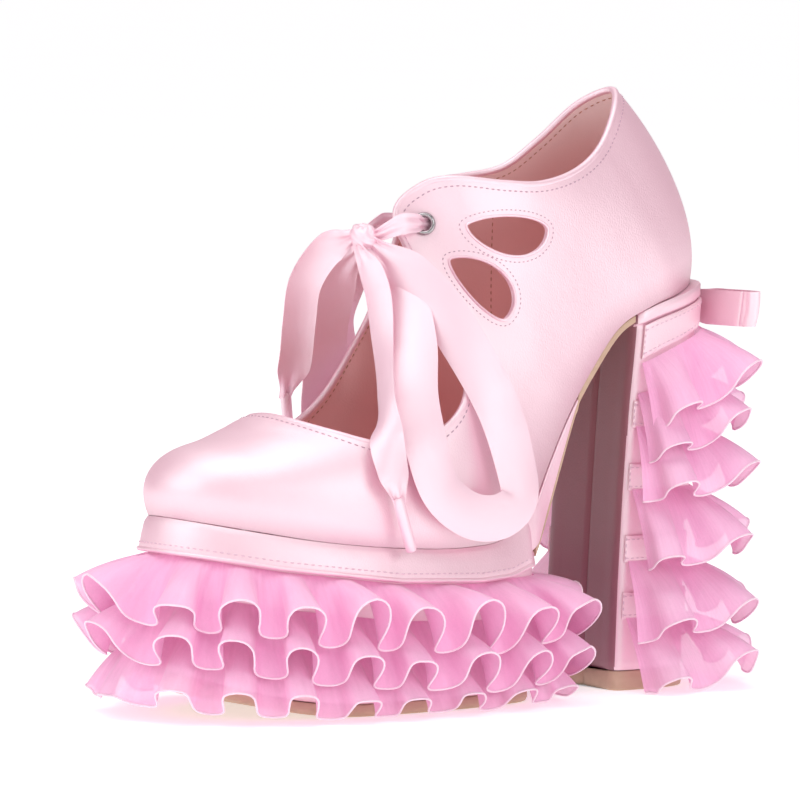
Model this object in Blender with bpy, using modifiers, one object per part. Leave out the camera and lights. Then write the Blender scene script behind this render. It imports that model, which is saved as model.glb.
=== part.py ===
"""A left platform pump in pale pink satin, with organza ruffles and a ribbon tie.

Sizes are in millimetres and become metres where a mesh is made. The toe points to -Y,
the wearer's left (the outer side of this left shoe) is +X, +Z is up, and the outsole
and the heel lift stand on z = 0.
"""
import math
from collections import namedtuple

import bmesh
import bpy
import numpy as np
from mathutils import Matrix, Vector

MM = 0.001
GAP = 0.3

# Driving sizes
UPPER_WALL = 1.8
INSOLE_THICK = 1.8
INSOLE_INSET = 4.0
OUTSOLE_THICK = 4.0
TOE_SPRING = 10.5
SPRING_START_Y = -45.0
TOE_Y = -99.8
TOE_SWING = 4.0
SWING_START_Y = -20.0
PLATFORM_REAR_Y = 25.5
BAND_FLARE = 3.0
HEEL_LIFT_THICK = 6.5
ARCH_END_Y = 71.8
ARCH_SOLE_THICK = 2.4
CLOTH_THICK = 0.8
TAPE_THICK = 0.8
STRAP_THICK = 1.2
EYELET_RADIUS = 3.1
EYELET_WIRE = 0.75
EYELET_HOLE = 2.3
EYELET_RIB = 7.45
EYELET_SHARE = 0.905
LOOP_WIDTH = 15.0
TAIL_WIDTH = 11.0
AGLET_RADIUS = 2.2

# One rib of the upper's wall, from the feather edge (f) up to the top line (t). out1 and
# out2 push the wall outward a third and two thirds of the way up, rise1 and rise2 lift it
# there, and inner_dy and inner_dz move the top point of the inner side of the shoe.
Rib = namedtuple("Rib", "name fy fx fz ty tx tz out1 out2 rise1 rise2 inner_dy inner_dz")
RIBS = [
    Rib("heel back", 105.0, 0.0, 136.7, 79.0, 0.0, 200.8, 14.0, 9.0, -0.5, 5.0, 0.0, 0.0),
    Rib("heel corner", 101.5, 13.0, 135.6, 72.0, 11.3, 194.6, 12.5, 8.0, 0.0, 3.0, 0.0, 1.0),
    Rib("counter", 91.0, 21.0, 132.3, 61.0, 18.3, 182.2, 8.0, 5.0, 0.0, 0.0, -0.5, 1.2),
    Rib("heel side", 78.0, 23.0, 128.3, 48.5, 21.8, 174.3, 5.5, 3.5, 0.0, 0.0, 0.0, 0.2),
    Rib("quarter", 65.0, 23.3, 122.0, 33.4, 23.0, 170.3, 4.5, 2.5, 0.0, 0.0, 0.0, 1.3),
    Rib("ankle", 53.0, 24.0, 108.5, 19.0, 21.0, 170.6, 5.0, 3.5, 0.0, 0.0, 5.0, 0.2),
    Rib("leaf", 42.0, 25.5, 93.5, 2.6, 14.5, 172.3, 6.0, 6.5, 0.0, 0.0, 9.4, -2.6),
    Rib("tab corner", 33.0, 27.5, 79.0, -5.7, 7.0, 169.4, 7.0, 8.0, 0.0, 0.0, 8.0, -2.0),
    Rib("tab front", 25.0, 30.5, 67.0, -12.2, 3.5, 160.7, 7.5, 9.5, 0.0, 0.0, 7.0, 0.0),
    Rib("tab foot", 16.0, 33.5, 58.7, -9.0, 11.0, 145.0, 7.5, 9.0, 0.0, 0.0, 4.0, 0.0),
    Rib("instep", 6.0, 36.0, 54.4, -3.0, 23.0, 124.0, 6.5, 6.0, 0.0, 0.0, -3.0, 0.0),
    Rib("throat rear", -5.0, 37.3, 53.4, -3.4, 33.0, 108.0, 5.0, 3.5, 0.0, 0.0, -6.0, 0.0),
    Rib("throat turn", -16.0, 37.8, 53.3, -11.0, 37.0, 96.0, 4.5, 3.5, 0.0, 0.0, -6.5, 0.0),
    Rib("throat low", -30.0, 37.8, 54.0, -26.4, 37.3, 87.9, 4.5, 3.2, 0.0, 0.0, -4.0, 0.0),
    Rib("ball", -47.0, 36.8, 55.6, -40.7, 34.5, 88.5, 5.5, 5.0, 0.0, 1.0, -1.0, 0.0),
    Rib("vamp side", -65.0, 33.5, 58.0, -51.3, 26.5, 92.0, 8.0, 8.5, 1.5, 2.5, 0.0, 0.0),
    Rib("vamp", -83.0, 26.0, 61.3, -58.0, 14.5, 95.1, 13.0, 13.5, 3.5, 4.0, 0.0, 0.0),
    Rib("toe corner", -95.5, 14.0, 64.0, -59.8, 6.0, 96.4, 17.5, 17.5, 4.2, 5.0, 0.0, 0.0),
    Rib("toe", TOE_Y, 0.0, 65.0, -60.2, 0.0, 96.7, 19.9, 19.6, 4.2, 5.2, 0.0, 0.0),
]
RIB_STEPS = 2
WALL_STEPS = 7

# Teardrop cut-outs of each quarter: the place of the point, and how it lies from there.
Leaf = namedtuple("Leaf", "name tip_y tip_z length above below turn_deg")
LEAVES = [
    Leaf("upper", 6.6, 157.0, 27.6, 4.4, 10.0, -4.5),
    Leaf("lower", 1.8, 145.8, 25.6, 9.8, 4.0, -50.0),
]
INNER_LEAF_SHIFT, INNER_LEAF_LENGTH = 3.0, 0.78
LEAF_POINTS = 22

# Height of the seam under the satin band along the platform.
SEAM = [
    (-100.0, 54.3), (-74.0, 49.3), (-35.0, 44.0), (-3.0, 42.4), (10.0, 43.2), (20.0, 46.0), (26.0, 49.5),
]
OUTLINE_POINTS = 960
# Behind this point the ruffles' seams stay level while the band climbs the arch.
LEVEL_SEAM_Y = 10.0

# Thickness, straight down, of the satin wing that carries the band up the arch.
WING = [(25.8, 15.6), (33.0, 12.6), (40.0, 7.0), (46.0, 1.3)]

# Cross-sections of the heel: share of the height, front, back, half width.
HeelRow = namedtuple("HeelRow", "share front back half")
HEEL = [
    HeelRow(0.0, 64.5, 98.5, 21.8),
    HeelRow(0.25, 66.0, 99.2, 21.5),
    HeelRow(0.5, 68.0, 100.3, 21.4),
    HeelRow(0.75, 70.3, 102.0, 21.7),
    HeelRow(0.9, 72.2, 103.6, 22.3),
    HeelRow(0.962, 72.8, 104.3, 22.6),
    HeelRow(0.97, 72.5, 105.2, 23.5),
    HeelRow(1.0, 72.5, 105.4, 23.6),
]
# Half outline of the heel, breast to back: shares of the half width and of the depth.
HEEL_OUTLINE = [
    (0.0, 0.05), (0.5, 0.025), (0.82, 0.0), (0.96, 0.05), (1.0, 0.18),
    (1.0, 0.5), (0.93, 0.75), (0.75, 0.92), (0.42, 0.985), (0.0, 1.0),
]
HEEL_STEPS = 2

# Organza tiers: seam below the band's seam, cloth length, and how far the strip leans out:
# lean in the middle of a wave, swing more at its crest. The last one, with no length of
# its own, reaches to just above the floor.
Tier = namedtuple("Tier", "name drop length lean swing")
PLATFORM_TIERS = [
    Tier("platform_ruffle_1", 1.2, 25.0, 54.5, 23.5),
    Tier("platform_ruffle_2", 13.2, 25.0, 48.5, 19.0),
    Tier("platform_ruffle_3", 25.2, None, 45.0, 12.0),
]
HEM_LIFT = 1.5
HEM_SPRING = 0.4
# Crests of these waves: shares of the outline, from the rear middle by the outer side.
CRESTS = (
    0.0, 0.05, 0.1, 0.1486, 0.2097, 0.2722, 0.3208, 0.3722, 0.4153, 0.4528,
    0.5042, 0.553, 0.604, 0.656, 0.708, 0.76, 0.812, 0.864, 0.912, 0.955,
)
# The heel's tiers also say what thickness they are sewn on, beyond the heel itself.
HeelTier = namedtuple("HeelTier", "name z slope under length lean swing waves phase")
HEEL_TIERS = [
    HeelTier("heel_ruffle_1", 116.0, 0.40, STRAP_THICK, 23.5, 48.0, 21.0, 6.0, 0.37),
    HeelTier("heel_ruffle_2", 103.0, 0.22, 0.0, 24.0, 48.0, 19.0, 6.0, 0.42),
    HeelTier("heel_ruffle_3", 88.5, 0.0, TAPE_THICK, 26.0, 46.0, 17.0, 6.0, 0.30),
    HeelTier("heel_ruffle_4", 67.5, 0.0, TAPE_THICK, 28.0, 44.0, 16.0, 6.0, 0.45),
    HeelTier("heel_ruffle_5", 43.5, 0.0, TAPE_THICK, 27.5, 49.0, 16.0, 6.0, 0.34),
    HeelTier("heel_ruffle_6", 24.5, 0.0, TAPE_THICK, 28.0, 54.0, 14.0, 6.0, 0.42),
]
HEEL_TIER_POINTS = 37
TAPES = [("heel_tape_1", 92.5), ("heel_tape_2", 71.5), ("heel_tape_3", 47.5), ("heel_tape_4", 28.5)]
TAPE_HEIGHT = 9.0
STRAP_TOP = 5.2
STRAP_FRONT_HEIGHT = 11.0
STRAP_BACK_HEIGHT = 8.5

# The bow on the back of the heel, seen from above: x, and distance behind the strap.
BOW_LOOP = [
    (4.8, 2.6), (8.0, 4.4), (16.0, 6.6), (28.0, 7.0), (37.0, 5.6),
    (40.6, 3.9), (37.0, 2.2), (28.0, 1.6), (16.0, 1.3), (8.0, 1.0), (4.8, 0.9),
]
BOW_Z = 127.5
BOW_HEIGHT = 12.5
BOW_WAIST = 7.5
BOW_KNOT_SIZE = (8.0, 5.6, 9.6)

# The knot of the front ribbon, and the ways in which the ribbon leaves it.
KNOT_PLACE = (0.0, -22.5, 153.5)
KNOT_SIZE = (5.0, 4.2, 4.6)
Stop = namedtuple("Stop", "x y z face")
KNOT_WAYS = {
    "outer_tail": Stop(0.22, -0.42, -0.88, 0),
    "outer_loop": Stop(0.54, 0.02, -0.84, 35),
    "outer_loop_end": Stop(0.80, 0.22, -0.56, 42),
    "outer_bar": Stop(0.76, 0.64, 0.12, 0),
    "inner_tail": Stop(-0.78, -0.60, -0.14, -105),
    "inner_loop": Stop(-0.50, -0.05, -0.86, -110),
    "inner_loop_end": Stop(-0.80, 0.26, -0.54, -105),
    "inner_bar": Stop(-0.76, 0.64, 0.12, 0),
}
# Routes of the front ribbon beyond the knot: place, and the way its face looks in plan,
# in degrees from -Y towards +X.
OUTER_TAIL = [
    Stop(9.6, -24.4, 136.0, 15), Stop(17.3, -27.6, 120.0, 8),
    Stop(28.8, -34.6, 106.0, 2), Stop(35.2, -38.4, 98.0, 8), Stop(41.0, -41.7, 89.0, 55),
    Stop(44.9, -41.3, 78.5, 86), Stop(45.0, -39.8, 69.5, 90),
]
OUTER_LOOP = [
    Stop(12.5, -16.9, 137.0, 45), Stop(24.5, -19.8, 120.0, 52),
    Stop(34.5, -26.0, 103.0, 62), Stop(42.2, -27.0, 88.0, 78), Stop(45.2, -23.0, 73.0, 88),
    Stop(46.0, -12.0, 64.5, 90), Stop(46.0, 0.0, 63.5, 90), Stop(45.2, 8.0, 69.0, 90),
    Stop(43.4, 7.5, 81.0, 86), Stop(41.5, 2.0, 99.0, 76), Stop(33.0, -5.5, 119.0, 64),
    Stop(21.0, -11.5, 135.5, 52),
]
INNER_TAIL = [
    Stop(-9.0, -31.5, 148.6, -112), Stop(-17.0, -34.2, 138.0, -120),
    Stop(-24.0, -31.9, 125.0, -122), Stop(-30.5, -29.0, 113.0, -118), Stop(-39.5, -25.4, 103.0, -108),
    Stop(-44.0, -24.0, 98.0, -96),
]
INNER_LOOP = [
    Stop(-17.1, -21.7, 139.0, -115), Stop(-28.5, -18.1, 124.0, -112),
    Stop(-38.5, -12.5, 107.0, -104), Stop(-43.8, -10.4, 92.0, -95), Stop(-46.0, -7.0, 78.0, -90),
    Stop(-46.5, 1.0, 70.0, -90), Stop(-46.5, 9.5, 72.5, -90), Stop(-45.0, 12.0, 82.0, -90),
    Stop(-43.5, 5.0, 95.0, -94), Stop(-42.5, -3.0, 109.0, -102), Stop(-35.0, -11.5, 124.0, -110),
    Stop(-21.5, -16.0, 138.0, -114),
]
AGLET_ENDS = {"outer": (44.8, -34.8, 54.0), "inner": (-45.8, -21.4, 83.0)}
RIBBON_NECK = 4.6
BAR_NECK = 4.0
BAR_SWELL = 3.6


def clear_scene():
    for item in list(bpy.data.objects):
        bpy.data.objects.remove(item, do_unlink=True)


def collection(name):
    made = bpy.data.collections.new(name)
    bpy.context.scene.collection.children.link(made)
    return made


def material(name, colour, roughness, metallic=0.0):
    made = bpy.data.materials.new(name)
    made.use_nodes = True
    shader = made.node_tree.nodes["Principled BSDF"]
    shader.inputs["Base Color"].default_value = (*colour, 1.0)
    shader.inputs["Roughness"].default_value = roughness
    shader.inputs["Metallic"].default_value = metallic
    return made


def smooth_shade(mesh, angle_deg=40.0):
    mesh.shade_smooth()
    mesh.set_sharp_from_angle(angle=math.radians(angle_deg))


def add_object(name, mesh, finish, home):
    made = bpy.data.objects.new(name, mesh)
    home.objects.link(made)
    if finish is not None:
        mesh.materials.append(finish)
    return made


def mesh_from(name, points, faces):
    mesh = bpy.data.meshes.new(name)
    mesh.from_pydata([tuple(np.asarray(p) * MM) for p in points], [], faces)
    return mesh


def closed_curve(rows, steps):
    """Points of a smooth closed curve through rows, with the same steps in each span."""
    rows = np.asarray(rows, float)
    count = len(rows)
    points = []
    for i in range(count):
        before, start, end, after = (rows[(i + k) % count] for k in (-1, 0, 1, 2))
        for k in range(steps):
            points.append(spline_point(before, start, end, after, k / steps))
    return np.array(points)


def open_curve(rows, steps):
    """Points of a smooth open curve through rows, both ends included."""
    rows = np.asarray(rows, float)
    padded = np.vstack([2 * rows[0] - rows[1], rows, 2 * rows[-1] - rows[-2]])
    points = []
    for i in range(len(rows) - 1):
        for k in range(steps):
            points.append(spline_point(*padded[i:i + 4], k / steps))
    return np.array(points + [rows[-1]])


def spline_point(before, start, end, after, t):
    return 0.5 * (
        2 * start + (end - before) * t
        + (2 * before - 5 * start + 4 * end - after) * t * t
        + (3 * start - before - 3 * end + after) * t ** 3
    )


def resample(points, count):
    """Count points evenly spaced along a closed line, from its first point."""
    ring = np.vstack([points, points[:1]])
    along = np.concatenate([[0.0], np.cumsum(np.linalg.norm(np.diff(ring, axis=0), axis=1))])
    wanted = np.linspace(0.0, along[-1], count, endpoint=False)
    return np.stack([np.interp(wanted, along, ring[:, k]) for k in range(ring.shape[1])], axis=1)


def plan_normals(points):
    """Outward directions in plan of a closed line that runs clockwise from above."""
    ahead = np.roll(points, -1, axis=0)[:, :2] - np.roll(points, 1, axis=0)[:, :2]
    normals = np.stack([-ahead[:, 1], ahead[:, 0]], axis=1)
    return normals / np.linalg.norm(normals, axis=1, keepdims=True)


def swing(y):
    """Sideways shift of the shoe's middle line: the forefoot turns to the inner side."""
    reach = np.clip((SWING_START_Y - y) / (SWING_START_Y - TOE_Y), 0.0, None)
    return -TOE_SWING * reach ** 2


def toe_spring(y):
    reach = np.clip((SPRING_START_Y - y) / (SPRING_START_Y - TOE_Y), 0.0, None)
    return TOE_SPRING * reach ** 2


FEATHER = open_curve([(rib.fy, rib.fx, rib.fz) for rib in RIBS], 8)[::-1]


def feather_z(y):
    """Height of the upper's lower edge, which is the top of the sole."""
    return np.interp(y, FEATHER[:, 0], FEATHER[:, 2])


def feather_half(y):
    return np.interp(y, FEATHER[:, 0], FEATHER[:, 1])


def seam_z(y):
    rows = np.array(SEAM)
    return np.interp(y, rows[:, 0], rows[:, 1])


def wing_drop(y):
    rows = np.array(WING)
    return np.interp(y, rows[:, 0], rows[:, 1])


def ladder_cap(start, count, flip):
    """Faces across a ring whose point k lies opposite point count - k."""
    faces = []
    for k in range(count // 2):
        quad = [start + k, start + k + 1, start + (count - k - 1) % count, start + (count - k) % count]
        quad = list(dict.fromkeys(quad))
        faces.append(quad if flip else quad[::-1])
    return faces


def loft(name, rings, finish, home):
    """A closed solid through rings that run clockwise from above, lowest ring first."""
    count = len(rings[0])
    points = np.vstack(rings)
    faces = []
    for i in range(len(rings) - 1):
        for k in range(count):
            j = (k + 1) % count
            a, b = i * count, (i + 1) * count
            faces.append([a + k, b + k, b + j, a + j])
    faces += ladder_cap(0, count, True)
    faces += ladder_cap((len(rings) - 1) * count, count, False)
    mesh = mesh_from(name, points, faces)
    smooth_shade(mesh)
    return add_object(name, mesh, finish, home)


def sheet(name, grid, thick, finish, home, closed=False, offset=0.0):
    """A cloth wall: rows of a grid of points, given its thickness by Solidify."""
    grid = np.asarray(grid, float)
    high, wide = grid.shape[:2]
    faces = []
    for i in range(high - 1):
        for k in range(wide if closed else wide - 1):
            j = (k + 1) % wide
            faces.append([i * wide + k, (i + 1) * wide + k, (i + 1) * wide + j, i * wide + j])
    mesh = mesh_from(name, grid.reshape(-1, 3), faces)
    smooth_shade(mesh)
    made = add_object(name, mesh, finish, home)
    wall = made.modifiers.new("wall", "SOLIDIFY")
    wall.thickness = thick * MM
    wall.offset = offset
    return made


def cut(target, cutter):
    cutter.hide_render = True
    cutter.display_type = "WIRE"
    hole = target.modifiers.new(cutter.name, "BOOLEAN")
    hole.operation = "DIFFERENCE"
    hole.solver = "EXACT"
    hole.object = cutter


def rib_loop():
    """The ribs all round the shoe: outer side from the heel to the toe, inner side back."""
    rows = []
    for rib in RIBS:
        rows.append([rib.fx, rib.fy, rib.fz, rib.tx, rib.ty, rib.tz,
                     rib.out1, rib.out2, rib.rise1, rib.rise2])
    for rib in RIBS[-2:0:-1]:
        rows.append([-rib.fx, rib.fy, rib.fz, -rib.tx, rib.ty + rib.inner_dy, rib.tz + rib.inner_dz,
                     rib.out1, rib.out2, rib.rise1, rib.rise2])
    return closed_curve(rows, RIB_STEPS)


def wall_point(column, normal, share):
    """A point of the upper's outer wall, on the cubic curve of one rib."""
    feather, top = column[0:3], column[3:6]
    outward = np.array([normal[0], normal[1], 0.0])
    upward = np.array([0.0, 0.0, 1.0])
    low = feather + (top - feather) / 3 + outward * column[6] + upward * column[8]
    high = feather + (top - feather) * 2 / 3 + outward * column[7] + upward * column[9]
    rest = 1.0 - share
    point = feather * rest ** 3 + top * share ** 3
    point += 3 * low * rest ** 2 * share + 3 * high * rest * share ** 2
    point[0] += swing(point[1])
    return point


def upper_wall(column_number, share):
    """A point of the outer wall by rib number, counted from the heel's outer side."""
    columns = rib_loop()
    normals = plan_normals(columns[:, 0:2])
    spot = (column_number * RIB_STEPS) % len(columns)
    first = int(spot)
    second = (first + 1) % len(columns)
    part = spot - first
    column = columns[first] * (1 - part) + columns[second] * part
    normal = normals[first] * (1 - part) + normals[second] * part
    return wall_point(column, normal, share)


def teardrop(leaf):
    """Outline of one cut-out: a point at its start, round at its far end."""
    turn = math.radians(leaf.turn_deg)
    points = []
    for k in range(LEAF_POINTS):
        angle = 2 * math.pi * k / LEAF_POINTS
        along = leaf.length * (1 - math.cos(angle)) / 2
        reach = leaf.above if math.sin(angle) > 0 else leaf.below
        across = reach * math.sin(angle) * abs(math.sin(angle / 2)) ** 0.3
        points.append((leaf.tip_y + along * math.cos(turn) - across * math.sin(turn),
                       leaf.tip_z + along * math.sin(turn) + across * math.cos(turn)))
    return points


def leaf_cutter(name, leaf, near, far, shift, home):
    ring = teardrop(leaf)
    points = [(x, y + shift, z) for x in (near, far) for y, z in ring]
    count = len(ring)
    faces = [[k, (k + 1) % count, count + (k + 1) % count, count + k] for k in range(count)]
    faces += [list(range(count))[::-1], list(range(count, 2 * count))]
    mesh = mesh_from(name, points, faces)
    shell = bmesh.new()
    shell.from_mesh(mesh)
    bmesh.ops.recalc_face_normals(shell, faces=shell.faces)
    shell.to_mesh(mesh)
    shell.free()
    return add_object(name, mesh, None, home)


def eyelet_place(side):
    """Centre of an eyelet on the wall, and the wall's outward direction there."""
    number = EYELET_RIB if side == "outer" else 2 * (len(RIBS) - 1) - EYELET_RIB
    centre = upper_wall(number, EYELET_SHARE)
    along = upper_wall(number + 0.2, EYELET_SHARE) - upper_wall(number - 0.2, EYELET_SHARE)
    upward = upper_wall(number, EYELET_SHARE + 0.03) - upper_wall(number, EYELET_SHARE - 0.03)
    outward = np.cross(upward, along)
    return centre, outward / np.linalg.norm(outward)


def turned_to(centre, direction):
    """Matrix that puts an object at centre with its +Z along a direction."""
    turn = Vector((0.0, 0.0, 1.0)).rotation_difference(Vector(direction))
    return Matrix.Translation(Vector(centre) * MM) @ turn.to_matrix().to_4x4()


def platform_ring(count):
    """Plan outline of the platform and its outward directions, from the rear middle."""
    rear = [(0.0, PLATFORM_REAR_Y), (20.0, PLATFORM_REAR_Y), (28.5, PLATFORM_REAR_Y - 0.6), (32.2, 20.0)]
    half = rear + [(rib.fx, rib.fy) for rib in RIBS if rib.fy < 20.0]
    whole = half + [(-x, y) for x, y in half[-2:0:-1]]
    ring = resample(closed_curve(whole, 6), count)
    return ring, plan_normals(ring)


def ring_at(ring, normals, offset, height):
    """A plan ring moved outward, turned to the foot's curve and lifted to its height."""
    moved = ring + normals * np.reshape(offset, (-1, 1))
    return np.stack([moved[:, 0] + swing(moved[:, 1]), moved[:, 1], height(ring[:, 1])], axis=1)


def make_outsole(finish, home):
    ring, normals = platform_ring(48)
    levels = [
        (-3.2, lambda y: toe_spring(y)),
        (-1.6, lambda y: toe_spring(y) + 1.6),
        (-1.6, lambda y: toe_spring(y) + OUTSOLE_THICK),
    ]
    return loft("outsole", [ring_at(ring, normals, *level) for level in levels], finish, home)


def make_platform(finish, home):
    ring, normals = platform_ring(48)
    base = OUTSOLE_THICK + GAP
    flare = np.clip((PLATFORM_REAR_Y - 2.0 - ring[:, 1]) / 4.0, 0.0, 1.0)
    levels = [
        (-1.6, lambda y: toe_spring(y) + base),
        (0.0, lambda y: toe_spring(y) + base + 2.0),
        (0.0, lambda y: seam_z(y) - 0.9),
        (flare * (BAND_FLARE - 0.4), lambda y: seam_z(y) - 0.3),
        (flare * BAND_FLARE, lambda y: seam_z(y) + 0.8),
        (flare * 0.9, lambda y: feather_z(y) - GAP - 1.2),
        (-0.4, lambda y: feather_z(y) - GAP - 0.5 * np.clip((y - 2.0) / 8.0, 0.0, 1.0)),
    ]
    return loft("platform", [ring_at(ring, normals, *level) for level in levels], finish, home)


def along_sole(name, stops, half, top, bottom, finish, home):
    """A bar that follows the arch: a four-cornered section at each stop along Y."""
    rings = []
    for y in stops:
        wide = half(y)
        rings.append([(-wide, y, bottom(y)), (-wide, y, top(y)), (wide, y, top(y)), (wide, y, bottom(y))])
    count = 4
    faces = []
    for i in range(len(rings) - 1):
        for k in range(count):
            j = (k + 1) % count
            faces.append([i * count + k, i * count + j, (i + 1) * count + j, (i + 1) * count + k])
    last = (len(rings) - 1) * count
    faces += [[3, 2, 1, 0], [last, last + 1, last + 2, last + 3]]
    mesh = mesh_from(name, [p for ring in rings for p in ring], faces)
    smooth_shade(mesh)
    return add_object(name, mesh, finish, home)


def make_wing(finish, home):
    stops = np.linspace(WING[0][0], WING[-1][0], 9)
    return along_sole(
        "arch_wing", stops,
        lambda y: feather_half(y) + 0.5,
        lambda y: feather_z(y) - GAP,
        lambda y: feather_z(y) - GAP - wing_drop(y),
        finish, home)


def make_arch_sole(finish, home):
    stops = np.linspace(PLATFORM_REAR_Y + GAP, ARCH_END_Y, 16)

    def top(y):
        covered = wing_drop(y) + GAP if y < WING[-1][0] + 1.0 else 0.0
        return feather_z(y) - GAP - covered

    def bottom(y):
        steep = (feather_z(y + 1.0) - feather_z(y - 1.0)) / 2.0
        return top(y) - ARCH_SOLE_THICK * math.hypot(1.0, steep)

    return along_sole("arch_sole", stops, lambda y: feather_half(y) - 0.6, top, bottom, finish, home)


def make_insole(finish, home):
    ring = resample(closed_curve(
        [(rib.fx, rib.fy) for rib in RIBS] + [(-rib.fx, rib.fy) for rib in RIBS[-2:0:-1]], 4), 56)
    normals = plan_normals(ring)
    rings = []
    for lift in (2 * GAP, 2 * GAP + INSOLE_THICK):
        moved = ring - normals * INSOLE_INSET
        rings.append(np.stack([moved[:, 0] + swing(moved[:, 1]), moved[:, 1],
                               feather_z(moved[:, 1]) + lift], axis=1))
    return loft("insole", rings, finish, home)


def make_upper(finish, home, cutters):
    columns = rib_loop()
    normals = plan_normals(columns[:, 0:2])
    shares = [(k / WALL_STEPS) for k in range(WALL_STEPS + 1)]
    grid = [[wall_point(c, n, share) for c, n in zip(columns, normals)] for share in shares]
    made = sheet("upper", grid, UPPER_WALL, finish, home, closed=True, offset=-1.0)
    for leaf in LEAVES:
        cut(made, leaf_cutter(f"{leaf.name}_leaf_outer", leaf, 2.0, 70.0, 0.0, cutters))
        short = leaf._replace(length=leaf.length * INNER_LEAF_LENGTH)
        cut(made, leaf_cutter(f"{leaf.name}_leaf_inner", short, -70.0, -2.0, INNER_LEAF_SHIFT, cutters))
    for side in ("outer", "inner"):
        centre, outward = eyelet_place(side)
        bpy.ops.mesh.primitive_cylinder_add(vertices=14, radius=EYELET_HOLE * MM, depth=9.0 * MM)
        drill = bpy.context.object
        drill.name = f"eyelet_hole_{side}"
        drill.matrix_world = turned_to(centre, outward)
        move_to(drill, cutters)
        cut(made, drill)
    return made


def move_to(item, home):
    for old in list(item.users_collection):
        old.objects.unlink(item)
    home.objects.link(item)


def make_eyelet(side, finish, home):
    centre, outward = eyelet_place(side)
    bpy.ops.mesh.primitive_torus_add(
        major_segments=16, minor_segments=5, major_radius=EYELET_RADIUS * MM, minor_radius=EYELET_WIRE * MM)
    made = bpy.context.object
    made.name = f"eyelet_{side}"
    made.matrix_world = turned_to(centre + outward * (EYELET_WIRE + GAP), outward)
    made.data.materials.append(finish)
    smooth_shade(made.data)
    move_to(made, home)
    return made


def heel_ring(steps=HEEL_STEPS):
    half = HEEL_OUTLINE
    whole = half + [(-x, y) for x, y in half[-2:0:-1]]
    return closed_curve(whole, steps)


def heel_sizes(share):
    rows = np.array(HEEL)
    return [np.interp(share, rows[:, 0], rows[:, k]) for k in (1, 2, 3)]


HEEL_BASE = HEEL_LIFT_THICK + GAP


def heel_level(share):
    front, back, half = heel_sizes(share)
    ring = heel_ring()[::-1]
    plan = np.stack([ring[:, 0] * half, front + (back - front) * ring[:, 1]], axis=1)
    height = HEEL_BASE + share * (feather_z(plan[:, 1]) - GAP - HEEL_BASE)
    return np.column_stack([plan, height])


def make_heel(finish, home):
    rings = [heel_level(row.share) for row in HEEL]
    return loft("heel", rings, finish, home)


def make_heel_lift(finish, home):
    top = heel_level(0.0)
    rings = []
    for height in (0.0, HEEL_LIFT_THICK):
        ring = top.copy()
        ring[:, 2] = height
        rings.append(ring)
    return loft("heel_lift", rings, finish, home)


def heel_wrap(spots, height, offset):
    """Points round the heel's sides and back at given heights, moved outward.

    Spots run from 0 at the outer front corner, past the back, to 1 at the inner one.
    """
    first, last = 3.0 * 4, (len(HEEL_OUTLINE) * 2 - 2 - 3.0) * 4
    ring = heel_ring(4)
    points = []
    for spot in spots:
        place = first + (last - first) * spot
        k = int(place) % len(ring)
        part = place - int(place)
        here = ring[k] * (1 - part) + ring[(k + 1) % len(ring)] * part
        step = ring[(k + 2) % len(ring)] - ring[k - 1]
        share = 0.5
        for _ in range(4):
            front, back, half = heel_sizes(share)
            y = front + (back - front) * here[1]
            share = (height(y) - HEEL_BASE) / (feather_z(y) - GAP - HEEL_BASE)
        along = np.array([step[0] * half, step[1] * (back - front)])
        outward = np.array([along[1], -along[0]]) / np.linalg.norm(along)
        points.append((here[0] * half + outward[0] * offset, y + outward[1] * offset, height(y), *outward))
    return np.array(points)


def make_strap(finish, home):
    spots = np.linspace(0.03, 0.97, 25)
    rows = []
    for share in (0.0, 1.0):
        def height(y, share=share):
            reach = np.clip((y - 74.0) / 30.0, 0.0, 1.0)
            tall = STRAP_FRONT_HEIGHT + (STRAP_BACK_HEIGHT - STRAP_FRONT_HEIGHT) * reach
            return feather_z(y) - STRAP_TOP - tall * share
        rows.append(heel_wrap(spots, height, GAP)[:, :3])
    return sheet("heel_strap", rows, STRAP_THICK, finish, home, offset=1.0)


def make_tape(name, middle, finish, home):
    spots = np.linspace(0.04, 0.96, 23)
    rows = []
    for height in (middle + TAPE_HEIGHT / 2, middle - TAPE_HEIGHT / 2):
        rows.append(heel_wrap(spots, lambda y, height=height: height, GAP)[:, :3])
    return sheet(name, rows, TAPE_THICK, finish, home, offset=1.0)


def floor_length(seat, tier):
    """Length of a strip whose troughs end just above the floor, higher at the toe."""
    hem = HEM_LIFT + HEM_SPRING * toe_spring(seat[1])
    return (seat[2] - hem) / math.cos(math.radians(tier.lean - tier.swing))


def cloth_fall(seat, outward, tier, turn, share):
    """A point of a gathered strip, share of the way from its seam to its hem.

    Where the wave (turn) is at its crest the strip stands out, and in a trough it hangs.
    """
    length = tier.length or floor_length(seat, tier)
    lean = math.radians(tier.lean + tier.swing * math.cos(turn))
    spring = 0.22 * share * (1.0 - share)
    out = length * (share * math.sin(lean) + spring)
    fall = length * (share * math.cos(lean) - 0.5 * spring)
    return np.array([seat[0] + outward[0] * out, seat[1] + outward[1] * out, seat[2] - fall])


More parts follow.
